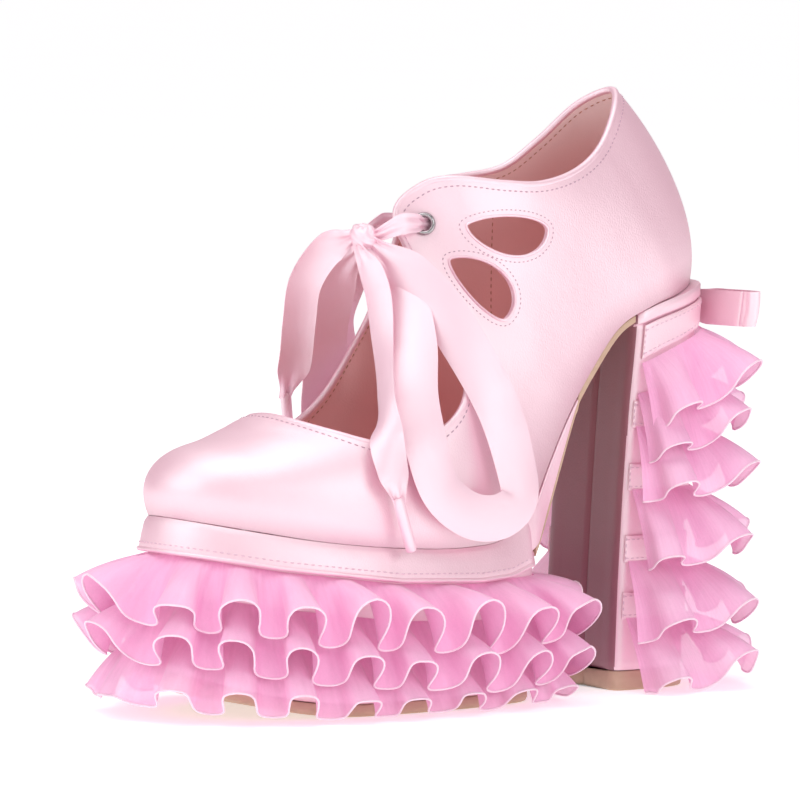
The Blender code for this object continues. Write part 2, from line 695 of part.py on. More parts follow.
def make_platform_tier(tier, finish, home):
    per_wave = 4
    turns = np.arange(len(CRESTS) * per_wave) / per_wave
    shares = np.interp(turns, np.arange(len(CRESTS) + 1), CRESTS + (1.0,))
    ring, normals = platform_ring(OUTLINE_POINTS)
    clear = GAP + CLOTH_THICK / 2 + 0.1
    seats = ring_at(ring, normals, clear, lambda y: seam_z(np.minimum(y, LEVEL_SEAM_Y)) - tier.drop)
    stops = np.round(shares * OUTLINE_POINTS).astype(int) % OUTLINE_POINTS
    rows = []
    for share in (0.0, 0.5, 1.0):
        row = []
        for turn, stop in zip(turns, stops):
            row.append(cloth_fall(seats[stop], normals[stop], tier, 2 * math.pi * turn, share))
        rows.append(row)
    return sheet(tier.name, rows, CLOTH_THICK, finish, home, closed=True)


def make_heel_tier(tier, finish, home):
    spots = np.linspace(0.05, 0.95, HEEL_TIER_POINTS)
    clear = GAP + CLOTH_THICK / 2 + (tier.under + GAP if tier.under else 0.1)
    seats = heel_wrap(spots, lambda y: tier.z + tier.slope * (y - 90.0), clear)
    rows = []
    for share in (0.0, 0.5, 1.0):
        row = []
        for seat, spot in zip(seats, spots):
            turn = 2 * math.pi * (tier.waves * spot + tier.phase)
            row.append(cloth_fall(seat, seat[3:5], tier, turn, share))
        rows.append(row)
    return sheet(tier.name, rows, CLOTH_THICK, finish, home)


def strap_back_y():
    back = heel_wrap([0.5], lambda y: feather_z(y) - STRAP_TOP - 4.0, GAP + STRAP_THICK)
    return back[0][1]


def make_bow_loop(side, finish, home):
    sign = 1.0 if side == "outer" else -1.0
    back = strap_back_y()
    line = open_curve(BOW_LOOP, 2)
    rows = []
    for share in (0.5, -0.5):
        row = []
        for x, behind in line:
            spread = np.clip((x - 5.0) / 12.0, 0.0, 1.0)
            tall = BOW_WAIST + (BOW_HEIGHT - BOW_WAIST) * math.sin(spread * math.pi / 2)
            row.append((sign * x, back + behind, BOW_Z + share * tall))
        rows.append(row if sign > 0 else row[::-1])
    return sheet(f"heel_bow_loop_{side}", rows, CLOTH_THICK, finish, home)


def make_bow_knot(finish, home):
    bpy.ops.mesh.primitive_cube_add(size=1.0)
    made = bpy.context.object
    made.name = "heel_bow_knot"
    made.data.transform(Matrix.Diagonal((*(size * MM for size in BOW_KNOT_SIZE), 1.0)))
    made.location = Vector((0.0, strap_back_y() + GAP + BOW_KNOT_SIZE[1] / 2, BOW_Z)) * MM
    soft = made.modifiers.new("soft edges", "BEVEL")
    soft.width = 2.0 * MM
    soft.segments = 2
    made.data.materials.append(finish)
    move_to(made, home)
    return made


def knot_stop(name):
    """The place just clear of the knot where the ribbon leaves it."""
    way = np.array(KNOT_WAYS[name][:3])
    way /= np.linalg.norm(way)
    reach = 1.0 / np.linalg.norm(way / np.array(KNOT_SIZE))
    clear = GAP + CLOTH_THICK / 2
    return Stop(*(np.array(KNOT_PLACE) + way * (reach + clear)), KNOT_WAYS[name].face)


def ribbon_rows(stops, width):
    """Both edges of a ribbon along its route, narrow at its ends."""
    line = open_curve([tuple(stop) for stop in stops], 2)
    ahead = np.gradient(line[:, :3], axis=0)
    rows = [[], []]
    for k, (x, y, z, face) in enumerate(line):
        part = k / (len(line) - 1)
        ease = min(1.0, part / 0.18)
        leave = min(1.0, (1.0 - part) / 0.12)
        wide = RIBBON_NECK + (width - RIBBON_NECK) * min(ease, leave)
        turn = math.radians(face)
        looks = np.array([math.sin(turn), -math.cos(turn), 0.0])
        across = np.cross(ahead[k], looks)
        across *= wide / 2 / np.linalg.norm(across)
        rows[0].append(np.array([x, y, z]) + across)
        rows[1].append(np.array([x, y, z]) - across)
    return rows


def make_ribbon(name, stops, width, finish, home):
    return sheet(name, ribbon_rows(stops, width), CLOTH_THICK, finish, home)


def make_aglet(side, stops, finish, home):
    start = np.array(stops[-1][:3])
    end = np.array(AGLET_ENDS[side])
    way = end - start
    length = np.linalg.norm(way) - 2.0 * GAP
    bpy.ops.mesh.primitive_cylinder_add(vertices=10, radius=AGLET_RADIUS * MM, depth=length * MM)
    made = bpy.context.object
    made.name = f"aglet_{side}"
    made.matrix_world = turned_to((start + end) / 2 + way / np.linalg.norm(way) * GAP, way)
    made.data.materials.append(finish)
    smooth_shade(made.data)
    move_to(made, home)
    return made


def make_knot(finish, home):
    bpy.ops.mesh.primitive_uv_sphere_add(segments=12, ring_count=7, radius=1.0)
    made = bpy.context.object
    made.name = "ribbon_knot"
    made.data.transform(Matrix.Diagonal((*(size * MM for size in KNOT_SIZE), 1.0)))
    made.location = Vector(KNOT_PLACE) * MM
    made.data.materials.append(finish)
    smooth_shade(made.data)
    move_to(made, home)
    return made


def make_bar(side, finish, home):
    """The ribbon between an eyelet and the knot, outside the tab."""
    centre, outward = eyelet_place(side)
    sign = 1.0 if side == "outer" else -1.0
    start = centre + outward * (2 * EYELET_WIRE + 2 * GAP + 0.6)
    middle = centre + outward * 4.2 + np.array([-sign * 1.5, -7.5, -0.3])
    end = np.array(knot_stop(f"{side}_bar")[:3])
    line = open_curve([start, middle, end], 5)
    rows = [[], []]
    for k, point in enumerate(line):
        wide = BAR_NECK + BAR_SWELL * math.sin(math.pi * 0.9 * k / (len(line) - 1))
        rows[0].append(point + np.array([0.0, 0.0, wide / 2]))
        rows[1].append(point - np.array([0.0, 0.0, wide / 2]))
    return sheet(f"ribbon_bar_{side}", rows, CLOTH_THICK, finish, home)


def build():
    clear_scene()
    home = collection("platform_pump")
    cutters = collection("cutters")
    satin = material("satin", (0.89, 0.62, 0.73), 0.35)
    organza = material("organza", (0.90, 0.35, 0.60), 0.6)
    tan = material("tan_sole", (0.60, 0.40, 0.28), 0.6)
    lining = material("lining", (0.62, 0.30, 0.31), 0.6)
    nickel = material("nickel", (0.75, 0.75, 0.76), 0.2, 1.0)

    make_outsole(tan, home)
    make_platform(satin, home)
    make_wing(satin, home)
    make_arch_sole(tan, home)
    make_insole(lining, home)
    make_upper(satin, home, cutters)
    make_heel(satin, home)
    make_heel_lift(tan, home)
    make_strap(satin, home)
    for name, middle in TAPES:
        make_tape(name, middle, satin, home)
    for tier in PLATFORM_TIERS:
        make_platform_tier(tier, organza, home)
    for tier in HEEL_TIERS:
        make_heel_tier(tier, organza, home)
    make_bow_knot(satin, home)
    make_knot(satin, home)
    for side in ("outer", "inner"):
        make_bow_loop(side, satin, home)
        make_eyelet(side, nickel, home)
        make_bar(side, satin, home)
        tail = [knot_stop(f"{side}_tail")] + (OUTER_TAIL if side == "outer" else INNER_TAIL)
        loop = [knot_stop(f"{side}_loop")] + (OUTER_LOOP if side == "outer" else INNER_LOOP)
        loop.append(knot_stop(f"{side}_loop_end"))
        make_ribbon(f"ribbon_tail_{side}", tail, TAIL_WIDTH, satin, home)
        make_ribbon(f"ribbon_loop_{side}", loop, LOOP_WIDTH, satin, home)
        make_aglet(side, tail, satin, home)


build()
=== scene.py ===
# A left platform pump in blush satin, dressed over its CAD frame: organza ruffles round the
# platform and the heel, cut-out quarters and a ribbon tied in a bow. Sizes are in millimetres
# until a mesh is made. The toe points to -Y, the outer side is +X and the floor is z = 0.
import math
from collections import namedtuple

import bpy
import numpy as np
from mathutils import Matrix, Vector
from mathutils.bvhtree import BVHTree


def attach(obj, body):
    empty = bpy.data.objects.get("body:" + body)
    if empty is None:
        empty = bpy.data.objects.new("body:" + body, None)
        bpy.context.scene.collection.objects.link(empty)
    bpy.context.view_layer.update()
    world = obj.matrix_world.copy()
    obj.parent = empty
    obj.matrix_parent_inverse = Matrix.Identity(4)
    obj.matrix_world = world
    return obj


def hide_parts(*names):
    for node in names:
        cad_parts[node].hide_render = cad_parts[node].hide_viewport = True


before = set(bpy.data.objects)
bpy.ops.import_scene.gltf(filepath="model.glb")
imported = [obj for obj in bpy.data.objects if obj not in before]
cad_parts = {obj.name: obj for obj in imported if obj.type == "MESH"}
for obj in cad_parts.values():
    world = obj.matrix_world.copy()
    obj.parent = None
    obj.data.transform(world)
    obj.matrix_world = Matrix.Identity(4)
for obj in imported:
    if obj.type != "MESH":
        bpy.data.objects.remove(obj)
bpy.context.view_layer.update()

# ---- The studio --------------------------------------------------------------------------
# A wide white paper floor, soft boxes on every side and above, and the camera at the
# photograph's height and angle. None of it belongs to the shoe.
scene = bpy.context.scene
scene.view_settings.view_transform = "Standard"
AIM = Vector((0.0, 0.0, 0.092))
CAMERA_TURN, CAMERA_TILT, CAMERA_AWAY = math.radians(55.04), math.radians(4.10), 2.161
LENS, SENSOR_WIDTH = 294.6, 36.0
IMAGE_WIDTH, SHIFT_RIGHT, SHIFT_UP = 800, -20.27, 20.72
AIR_LIGHT, FLOOR_GLOW = 0.28, 0.44
OVERHEAD_LIGHT, OVERHEAD_SPREAD, OVERHEAD_LEAN = 1.05, math.radians(70), 0.10
# Soft boxes: how far right, towards the camera and up they stand, their size and their power.
SOFT_BOXES = [
    (1.25, 1.30, 0.50, 0.8, 7.0), (-1.50, 0.75, 0.80, 1.3, 10.5), (-0.45, 0.35, 1.75, 1.5, 8.0),
    (-0.20, -1.40, 1.30, 1.0, 1.2), (0.35, 2.30, 0.90, 1.2, 5.5)]
TO_CAMERA = Vector((
    math.sin(CAMERA_TURN) * math.cos(CAMERA_TILT),
    -math.cos(CAMERA_TURN) * math.cos(CAMERA_TILT),
    math.sin(CAMERA_TILT)))
bpy.ops.object.select_all(action="DESELECT")
bpy.ops.object.camera_add(
    location=AIM + CAMERA_AWAY * TO_CAMERA, rotation=(math.pi / 2 - CAMERA_TILT, 0.0, CAMERA_TURN))
camera = bpy.context.object
camera.data.sensor_width = SENSOR_WIDTH
camera.data.lens = LENS
camera.data.shift_x, camera.data.shift_y = SHIFT_RIGHT / IMAGE_WIDTH, SHIFT_UP / IMAGE_WIDTH
scene.camera = camera

air = bpy.data.worlds.new("studio air")
air.use_nodes = True
air.node_tree.nodes["Background"].inputs["Color"].default_value = (1.0, 0.985, 0.99, 1.0)
air.node_tree.nodes["Background"].inputs["Strength"].default_value = AIR_LIGHT
scene.world = air

CAMERA_RIGHT = Vector((math.cos(CAMERA_TURN), math.sin(CAMERA_TURN), 0.0))
overhead = Vector((0.0, 0.0, 1.0)) + OVERHEAD_LEAN * CAMERA_RIGHT
bpy.ops.object.light_add(type="SUN", rotation=overhead.to_track_quat("Z", "Y").to_euler())
bpy.context.object.data.energy = OVERHEAD_LIGHT
bpy.context.object.data.angle = OVERHEAD_SPREAD
for right, near, up, size, power in SOFT_BOXES:
    stand = AIM + right * CAMERA_RIGHT + near * TO_CAMERA + Vector((0.0, 0.0, up))
    bpy.ops.object.light_add(
        type="AREA", location=stand, rotation=(stand - AIM).to_track_quat("Z", "Y").to_euler())
    bpy.context.object.data.energy = power
    bpy.context.object.data.size = size


class Value:
    """A shader socket that takes part in plain arithmetic, adding Math nodes as it goes."""

    def __init__(self, finish, socket):
        self.finish, self.socket = finish, socket

    def math(self, operation, first, second=0.0, clamp=False):
        return self.finish.node(
            "ShaderNodeMath", {"operation": operation, "use_clamp": clamp}, {0: first, 1: second})

    def __add__(self, other):
        return self.math("ADD", self, other)

    def __sub__(self, other):
        return self.math("SUBTRACT", self, other)

    def __rsub__(self, other):
        return self.math("SUBTRACT", other, self)

    def __mul__(self, other):
        return self.math("MULTIPLY", self, other)

    def __pow__(self, other):
        return self.math("POWER", self, other)

    __radd__ = __add__
    __rmul__ = __mul__

    def clipped(self):
        return self.math("ADD", self, 0.0, clamp=True)


class Finish:
    """One finish of the shoe: a Principled shader and the nodes that feed it."""

    def __init__(self, name):
        self.material = bpy.data.materials.new(name)
        self.material.use_nodes = True
        self.tree = self.material.node_tree
        self.places = self.node("ShaderNodeTexCoord", {}, {}, "Object")
        self.weave = self.node("ShaderNodeTexCoord", {}, {}, "UV")

    def node(self, kind, settings, sockets, out=0):
        made = self.tree.nodes.new(kind)
        for setting, value in settings.items():
            setattr(made, setting, value)
        for socket, value in sockets.items():
            self.feed(made.inputs[socket], value)
        return Value(self, made.outputs[out])

    def feed(self, socket, value):
        if isinstance(value, Value):
            self.tree.links.new(value.socket, socket)
        else:
            socket.default_value = value

    def shade(self, sockets):
        for socket, value in sockets.items():
            self.feed(self.tree.nodes["Principled BSDF"].inputs[socket], value)

    def mix(self, share, low, high):
        return self.node("ShaderNodeMix", {"data_type": "RGBA"}, {0: share, 6: low, 7: high}, 2)

    def stretched(self, places, scale):
        return self.node("ShaderNodeMapping", {}, {"Vector": places, "Scale": scale})

    def noise(self, places, scale, detail=2.0):
        return self.node("ShaderNodeTexNoise", {}, {"Vector": places, "Scale": scale, "Detail": detail})

    def bump(self, height, deep, strength=1.0):
        return self.node("ShaderNodeBump", {}, {"Height": height, "Distance": deep, "Strength": strength})


paper = Finish("floor paper")
paper.shade({
    "Base Color": paper.mix(
        paper.noise(paper.places, 3.0), (0.93, 0.925, 0.928, 1.0), (0.96, 0.955, 0.958, 1.0)),
    "Roughness": 0.9,
    "Specular IOR Level": 0.1,
    "Emission Color": (1.0, 0.99, 0.995, 1.0),
    "Emission Strength": FLOOR_GLOW,
})
bpy.ops.object.select_all(action="DESELECT")
bpy.ops.mesh.primitive_plane_add(size=100.0)
floor = bpy.context.object
floor.name = "floor"
floor.data.materials.append(paper.material)

# ---- The upper ---------------------------------------------------------------------------
# Vamp, quarters and counter: satin bonded to a lining, pulled over the last and turned in at
# its lower edge. Two teardrops are cut out of each quarter and one hole is punched in each tab.
MM = 0.001
WALL = 1.8
RIB_STEPS = 12
WALL_STEPS = 48
TOE_Y, TOE_SWING, SWING_START_Y = -99.8, 4.0, -20.0
# One rib of the wall, from the feather edge (f) up to the top line (t). out1 and out2 push it
# outward a third and two thirds of the way up, rise1 and rise2 lift it there, and inner_dy and
# inner_dz move the top point of the inner side of the shoe.
Rib = namedtuple("Rib", "name fy fx fz ty tx tz out1 out2 rise1 rise2 inner_dy inner_dz")
RIBS = [
    Rib("heel back", 105.0, 0.0, 136.7, 79.0, 0.0, 200.8, 14.0, 9.0, -0.5, 5.0, 0.0, 0.0),
    Rib("heel corner", 101.5, 13.0, 135.6, 72.0, 11.3, 194.6, 12.5, 8.0, 0.0, 3.0, 0.0, 1.0),
    Rib("counter", 91.0, 21.0, 132.3, 61.0, 18.3, 182.2, 8.0, 5.0, 0.0, 0.0, -0.5, 1.2),
    Rib("heel side", 78.0, 23.0, 128.3, 48.5, 21.8, 174.3, 5.5, 3.5, 0.0, 0.0, 0.0, 0.2),
    Rib("quarter", 65.0, 23.3, 122.0, 33.4, 23.0, 170.3, 4.5, 2.5, 0.0, 0.0, 0.0, 1.3),
    Rib("ankle", 53.0, 24.0, 108.5, 19.0, 21.0, 170.6, 5.0, 3.5, 0.0, 0.0, 5.0, 0.2),
    Rib("leaf", 42.0, 25.5, 93.5, 2.6, 14.5, 172.3, 6.0, 6.5, 0.0, 0.0, 9.4, -2.6),
    Rib("tab corner", 33.0, 27.5, 79.0, -5.7, 7.0, 169.4, 7.0, 8.0, 0.0, 0.0, 8.0, -2.0),
    Rib("tab front", 25.0, 30.5, 67.0, -12.2, 3.5, 160.7, 7.5, 9.5, 0.0, 0.0, 7.0, 0.0),
    Rib("tab foot", 16.0, 33.5, 58.7, -9.0, 11.0, 145.0, 7.5, 9.0, 0.0, 0.0, 4.0, 0.0),
    Rib("instep", 6.0, 36.0, 54.4, -3.0, 23.0, 124.0, 6.5, 6.0, 0.0, 0.0, -3.0, 0.0),
    Rib("throat rear", -5.0, 37.3, 53.4, -3.4, 33.0, 108.0, 5.0, 3.5, 0.0, 0.0, -6.0, 0.0),
    Rib("throat turn", -16.0, 37.8, 53.3, -11.0, 37.0, 96.0, 4.5, 3.5, 0.0, 0.0, -6.5, 0.0),
    Rib("throat low", -30.0, 37.8, 54.0, -26.4, 37.3, 87.9, 4.5, 3.2, 0.0, 0.0, -4.0, 0.0),
    Rib("ball", -47.0, 36.8, 55.6, -40.7, 34.5, 88.5, 5.5, 5.0, 0.0, 1.0, -1.0, 0.0),
    Rib("vamp side", -65.0, 33.5, 58.0, -51.3, 26.5, 92.0, 8.0, 8.5, 1.5, 2.5, 0.0, 0.0),
    Rib("vamp", -83.0, 26.0, 61.3, -58.0, 14.5, 95.1, 13.0, 13.5, 3.5, 4.0, 0.0, 0.0),
    Rib("toe corner", -95.5, 14.0, 64.0, -59.8, 6.0, 96.4, 17.5, 17.5, 4.2, 5.0, 0.0, 0.0),
    Rib("toe", TOE_Y, 0.0, 65.0, -60.2, 0.0, 96.7, 19.9, 19.6, 4.2, 5.2, 0.0, 0.0),
]


def spline_point(before, start, end, after, t):
    return 0.5 * (
        2 * start + (end - before) * t
        + (2 * before - 5 * start + 4 * end - after) * t * t
        + (3 * start - before - 3 * end + after) * t ** 3)


def closed_curve(rows, steps):
    """Points of a smooth closed curve through rows, with the same steps in each span."""
    rows = np.asarray(rows, float)
    points = []
    for i in range(len(rows)):
        before, start, end, after = (rows[(i + k) % len(rows)] for k in (-1, 0, 1, 2))
        points += [spline_point(before, start, end, after, k / steps) for k in range(steps)]
    return np.array(points)


def plan_normals(points):
    """Outward directions in plan of a closed line that runs clockwise from above."""
    ahead = np.roll(points, -1, axis=0)[:, :2] - np.roll(points, 1, axis=0)[:, :2]
    normals = np.stack([-ahead[:, 1], ahead[:, 0]], axis=1)
    return normals / np.linalg.norm(normals, axis=1, keepdims=True)


def unit(vectors):
    return vectors / np.linalg.norm(vectors, axis=-1, keepdims=True)


def swing(y):
    """Sideways shift of the shoe's middle line: the forefoot turns to the inner side."""
    reach = np.clip((SWING_START_Y - y) / (SWING_START_Y - TOE_Y), 0.0, None)
    return -TOE_SWING * reach ** 2


def wall_rows():
    """The outer wall all round the shoe, from the feather edge up, from the heel's outer side."""
    loop = [[rib.fx, rib.fy, rib.fz, rib.tx, rib.ty, rib.tz, *rib[7:11]] for rib in RIBS]
    for rib in RIBS[-2:0:-1]:
        inner_top = (-rib.tx, rib.ty + rib.inner_dy, rib.tz + rib.inner_dz)
        loop.append([-rib.fx, rib.fy, rib.fz, *inner_top, *rib[7:11]])
    columns = closed_curve(loop, RIB_STEPS)
    feather, top = columns[:, 0:3], columns[:, 3:6]
    outward = np.column_stack([plan_normals(columns), np.zeros(len(columns))])
    upward = np.array([0.0, 0.0, 1.0])
    low = feather + (top - feather) / 3 + outward * columns[:, 6:7] + upward * columns[:, 8:9]
    high = feather + (top - feather) * 2 / 3 + outward * columns[:, 7:8] + upward * columns[:, 9:10]
    rows = []
    for share in np.linspace(0.0, 1.0, WALL_STEPS + 1):
        rest = 1.0 - share
        row = feather * rest ** 3 + top * share ** 3
        row += 3 * low * rest ** 2 * share + 3 * high * rest * share ** 2
        row[:, 0] += swing(row[:, 1])
        rows.append(row)
    return np.array(rows)


def wall_facing(rows):
    """Outward directions at the points of a wall."""
    return unit(np.cross(
        np.gradient(rows, axis=0), np.roll(rows, -1, axis=1) - np.roll(rows, 1, axis=1)))


def pick(piece):
    """Leave one piece alone selected and active."""
    bpy.ops.object.select_all(action="DESELECT")
    piece.select_set(True)
    bpy.context.view_layer.objects.active = piece


def weld(piece):
    """Close a piece's seams and poles where its points lie on each other."""
    pick(piece)
    bpy.ops.object.mode_set(mode="EDIT")
    bpy.ops.mesh.select_all(action="SELECT")
    bpy.ops.mesh.remove_doubles(threshold=2e-6)
    bpy.ops.object.mode_set(mode="OBJECT")


def grid_piece(name, rows, around=False, endless=False, crest=None):
    """A grid pulled onto rows of points in millimetres; its front looks along row x column.

    Around joins each row's last point to its first, and endless the last row to the first.
    Crest marks for each column how far it stands on a wave's crest; the organza paints a highlight there.
    """
    rows = np.asarray(rows, float)
    if around:
        rows = np.concatenate([rows, rows[:, :1]], axis=1)
    if endless:
        rows = np.concatenate([rows, rows[:1]], axis=0)
    high, wide = rows.shape[:2]
    bpy.ops.object.select_all(action="DESELECT")
    bpy.ops.mesh.primitive_grid_add(x_subdivisions=wide - 1, y_subdivisions=high - 1, size=2.0)
    piece = bpy.context.object
    piece.name = piece.data.name = name
    flat = np.empty(3 * high * wide)
    piece.data.vertices.foreach_get("co", flat)
    flat = flat.reshape(-1, 3)
    column = np.rint((1.0 + flat[:, 0]) / 2 * (wide - 1)).astype(int)
    row = np.rint((1.0 - flat[:, 1]) / 2 * (high - 1)).astype(int)
    piece.data.vertices.foreach_set("co", (rows[row, column] * MM).ravel())
    if crest is not None:
        marks = piece.data.attributes.new("crest", "FLOAT", "POINT")
        marks.data.foreach_set("value", crest[column % len(crest)])
    piece.data.update()
    weld(piece)
    return piece


def worked(piece, kind, **settings):
    """Add one modifier to a piece and apply it."""
    change = piece.modifiers.new(kind.lower(), kind)
    for setting, value in settings.items():
        setattr(change, setting, value)
    pick(piece)
    bpy.ops.object.modifier_apply(modifier=change.name)


def fix(piece, finish, slot, *nodes, angle=45.0):
    """Finish a piece and fix it to the shoe, in the place of the CAD nodes it stands for."""
    if not piece.data.materials:
        piece.data.materials.append(finish.material)
    pick(piece)
    bpy.ops.object.shade_smooth_by_angle(angle=math.radians(angle))
    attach(piece, "root")
    if nodes:
        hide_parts(*nodes)
    return piece


def satin_cloth(name, dark, light, gloss, under=None):
    """Satin: pink in the shade, nearly white where it mirrors the light, with a fine thread.

    Under is a deeper colour painted along the lower edge as shade, where the satin turns under.
    """
    made = Finish(name)
    cloud = made.noise(made.places, 24.0, 3.0)
    thread = made.noise(made.stretched(made.places, (1.0, 1.0, 0.6)), 2300.0, 2.0)
    slack = made.noise(made.places, 75.0, 2.0)
    colour = made.mix((0.55 * cloud + 0.45 * thread).clipped(), dark, light)
    if under:
        # Painted shade: the colour deepens towards under along the lower edge, where the satin turns under.
        low = made.node("ShaderNodeSeparateXYZ", {}, {"Vector": made.weave}, "Y")
        colour = made.mix((5.5 * low - 4.5).clipped() ** 1.4, colour, under)
    made.shade({
        "Base Color": colour,
        "Roughness": 0.38 + 0.22 * thread,
        "IOR": 3.0,
        "Specular IOR Level": gloss,
        "Sheen Weight": 0.1,
        "Sheen Roughness": 0.35,
        "Normal": made.bump(thread * 0.34 + slack, 0.0007, 0.36),
    })
    return made


BLUSH, PALE_BLUSH, TURNED_UNDER_SHADE = (0.83, 0.35, 0.49, 1.0), (0.94, 0.48, 0.62, 1.0), (0.48, 0.06, 0.17, 1.0)
satin = satin_cloth("blush satin", BLUSH, PALE_BLUSH, 1.0)
# The upper's satin has painted shade along its turned-under lower edge.
upper_satin = satin_cloth("upper satin", BLUSH, PALE_BLUSH, 1.0, TURNED_UNDER_SHADE)
lining = Finish("rose lining leather")
lining_cloud = lining.noise(lining.places, 30.0, 3.0)
lining_pore = lining.node(
    "ShaderNodeTexVoronoi", {"feature": "DISTANCE_TO_EDGE"}, {"Vector": lining.places, "Scale": 900.0})
lining_light_height = lining.node("ShaderNodeSeparateXYZ", {}, {"Vector": lining.places}, "Z")
# Painted light: the lining turns paler from about 161 mm up towards the collar, as if lit from above.
lining.shade({
    "Base Color": lining.mix(
        (32.0 * lining_light_height - 5.15).clipped(),
        lining.mix(lining_cloud, (0.78, 0.40, 0.40, 1.0), (0.88, 0.52, 0.51, 1.0)),
        (0.96, 0.76, 0.74, 1.0)),
    "Roughness": 0.52 + 0.15 * lining_cloud,
    "Normal": lining.bump(lining_pore, 0.0002, 0.35),
})

# Soft hollows in the stretched satin: in front of the throat, and where the outer vamp bends.
# Each has its middle, how far it spreads in x, y and z, and its depth. They end at the top line.
Hollow = namedtuple("Hollow", "middle spread deep")
HOLLOWS = [
    Hollow((-2.0, -77.0, 94.0), (24.0, 9.5, 22.0), 3.2),
    Hollow((46.0, -30.0, 72.0), (30.0, 4.5, 13.0), 0.7)]
TOP_LINE_SHARE = 0.12
wall = wall_rows()
facing = wall_facing(wall)
below_top = np.clip(np.arange(len(wall))[::-1] / (TOP_LINE_SHARE * len(wall)), 0.0, 1.0)[:, None, None]
for hollow in HOLLOWS:
    near = np.exp(-0.5 * (((wall - np.array(hollow.middle)) / np.array(hollow.spread)) ** 2).sum(axis=2))
    wall = wall - hollow.deep * near[..., None] * below_top * facing
upper = grid_piece("satin_upper", wall, around=True)
upper.data.materials.append(upper_satin.material)
upper.data.materials.append(lining.material)
worked(upper, "SOLIDIFY", thickness=WALL * MM, offset=-1.0, material_offset=1)

# Teardrops: the place of the point, how far each reaches to either side, and how it lies.
Leaf = namedtuple("Leaf", "name tip_y tip_z length above below turn_deg")
LEAVES = [
    Leaf("upper", 6.6, 157.0, 27.6, 4.4, 10.0, -4.5), Leaf("lower", 1.8, 145.8, 25.6, 9.8, 4.0, -50.0)]
INNER_LEAF_SHIFT, INNER_LEAF_LENGTH = 3.0, 0.78
LEAF_POINTS = 72
EYELET_RIB, EYELET_SHARE, EYELET_HOLE, EYELET_PUNCH = 7.45, 0.905, 2.3, 9.0
# The punch for a teardrop reaches through one quarter, to this far either side of its middle in x.
PUNCH_MIDDLE, PUNCH_REACH = 36.0, 34.0


def teardrop(leaf, side, angles):
    """Outline of a cut-out in side view: a point at its start, round at its far end."""
    turn = math.radians(leaf.turn_deg)
    along = leaf.length * (INNER_LEAF_LENGTH if side < 0 else 1.0) * (1 - np.cos(angles)) / 2
    reach = np.where(np.sin(angles) > 0, leaf.above, leaf.below)
    across = reach * np.sin(angles) * np.abs(np.sin(angles / 2)) ** 0.3
    y = leaf.tip_y + along * math.cos(turn) - across * math.sin(turn)
    z = leaf.tip_z + along * math.sin(turn) + across * math.cos(turn)
    return np.column_stack([y + (INNER_LEAF_SHIFT if side < 0 else 0.0), z])


def wall_spot(rib, share):
    """A point of the outer wall by rib number, counted from the heel's outer side."""
    column = (rib * RIB_STEPS) % wall.shape[1]
    first, part = int(column), column % 1
    row = int(share * WALL_STEPS)
    rest = share * WALL_STEPS - row
    row_after = min(row + 1, WALL_STEPS)
    after = (first + 1) % wall.shape[1]
    low = wall[row, first] * (1 - part) + wall[row, after] * part
    high = wall[row_after, first] * (1 - part) + wall[row_after, after] * part
    return low * (1 - rest) + high * rest


def eyelet_place(side):
    """Centre of an eyelet on the wall, and the wall's outward direction there."""
    number = EYELET_RIB if side > 0 else 2 * (len(RIBS) - 1) - EYELET_RIB
    along = wall_spot(number + 0.2, EYELET_SHARE) - wall_spot(number - 0.2, EYELET_SHARE)
    upward = wall_spot(number, EYELET_SHARE + 0.03) - wall_spot(number, EYELET_SHARE - 0.03)
    return wall_spot(number, EYELET_SHARE), unit(np.cross(upward, along))


punches = []
for side in (1, -1):
    for leaf in LEAVES:
        bpy.ops.object.select_all(action="DESELECT")
        bpy.ops.mesh.primitive_cylinder_add(vertices=LEAF_POINTS, radius=1.0, depth=2.0)
        punch = bpy.context.object
        for spot in punch.data.vertices:
            angle = math.atan2(spot.co.y, spot.co.x) % (2 * math.pi)
            y, z = teardrop(leaf, side, np.array([angle]))[0]
            spot.co = Vector((side * (PUNCH_MIDDLE + PUNCH_REACH * spot.co.z), y, z)) * MM
        punches.append(punch)
    centre, outward = eyelet_place(side)
    bpy.ops.mesh.primitive_cylinder_add(
        vertices=32, radius=EYELET_HOLE * MM, depth=EYELET_PUNCH * MM, location=Vector(centre) * MM,
        rotation=Vector(outward).to_track_quat("Z", "Y").to_euler())
    punches.append(bpy.context.object)
bpy.ops.object.select_all(action="DESELECT")
for punch in punches:
    punch.select_set(True)
bpy.context.view_layer.objects.active = punches[0]
bpy.ops.object.transform_apply(location=True, rotation=True, scale=True)
bpy.ops.object.join()
punch = punches[0]
bpy.ops.object.mode_set(mode="EDIT")
bpy.ops.mesh.select_all(action="SELECT")
bpy.ops.mesh.normals_make_consistent(inside=False)
bpy.ops.object.mode_set(mode="OBJECT")
worked(upper, "BOOLEAN", operation="DIFFERENCE", solver="EXACT", object=punch)
bpy.data.objects.remove(punch, do_unlink=True)
fix(upper, satin, "satin", "upper", angle=50.0)

# ---- The upper's edges and stitches ------------------------------------------------------
# The top line is bound with a narrow rolled strip of satin and stitched beside it; the
# teardrops have a thin turned rim. The thread is mauve outside and brown on the lining.
BINDING_RADIUS = 1.2
COLLAR_STITCH_DEPTH, STITCH_LIFT = 2.9, 0.05
LEAF_RIM_RADIUS, LEAF_RIM_AWAY, LEAF_RIM_SUNK = 0.5, 0.15, -0.1
LEAF_STITCH_AWAY = 2.0
THROAT_FIRST_RIB, THROAT_LAST_RIB = 9, 27
LINING_SEAM_Y, LINING_SEAM_FOOT, LINING_SEAM_TOP = 46.0, 118.0, 169.0


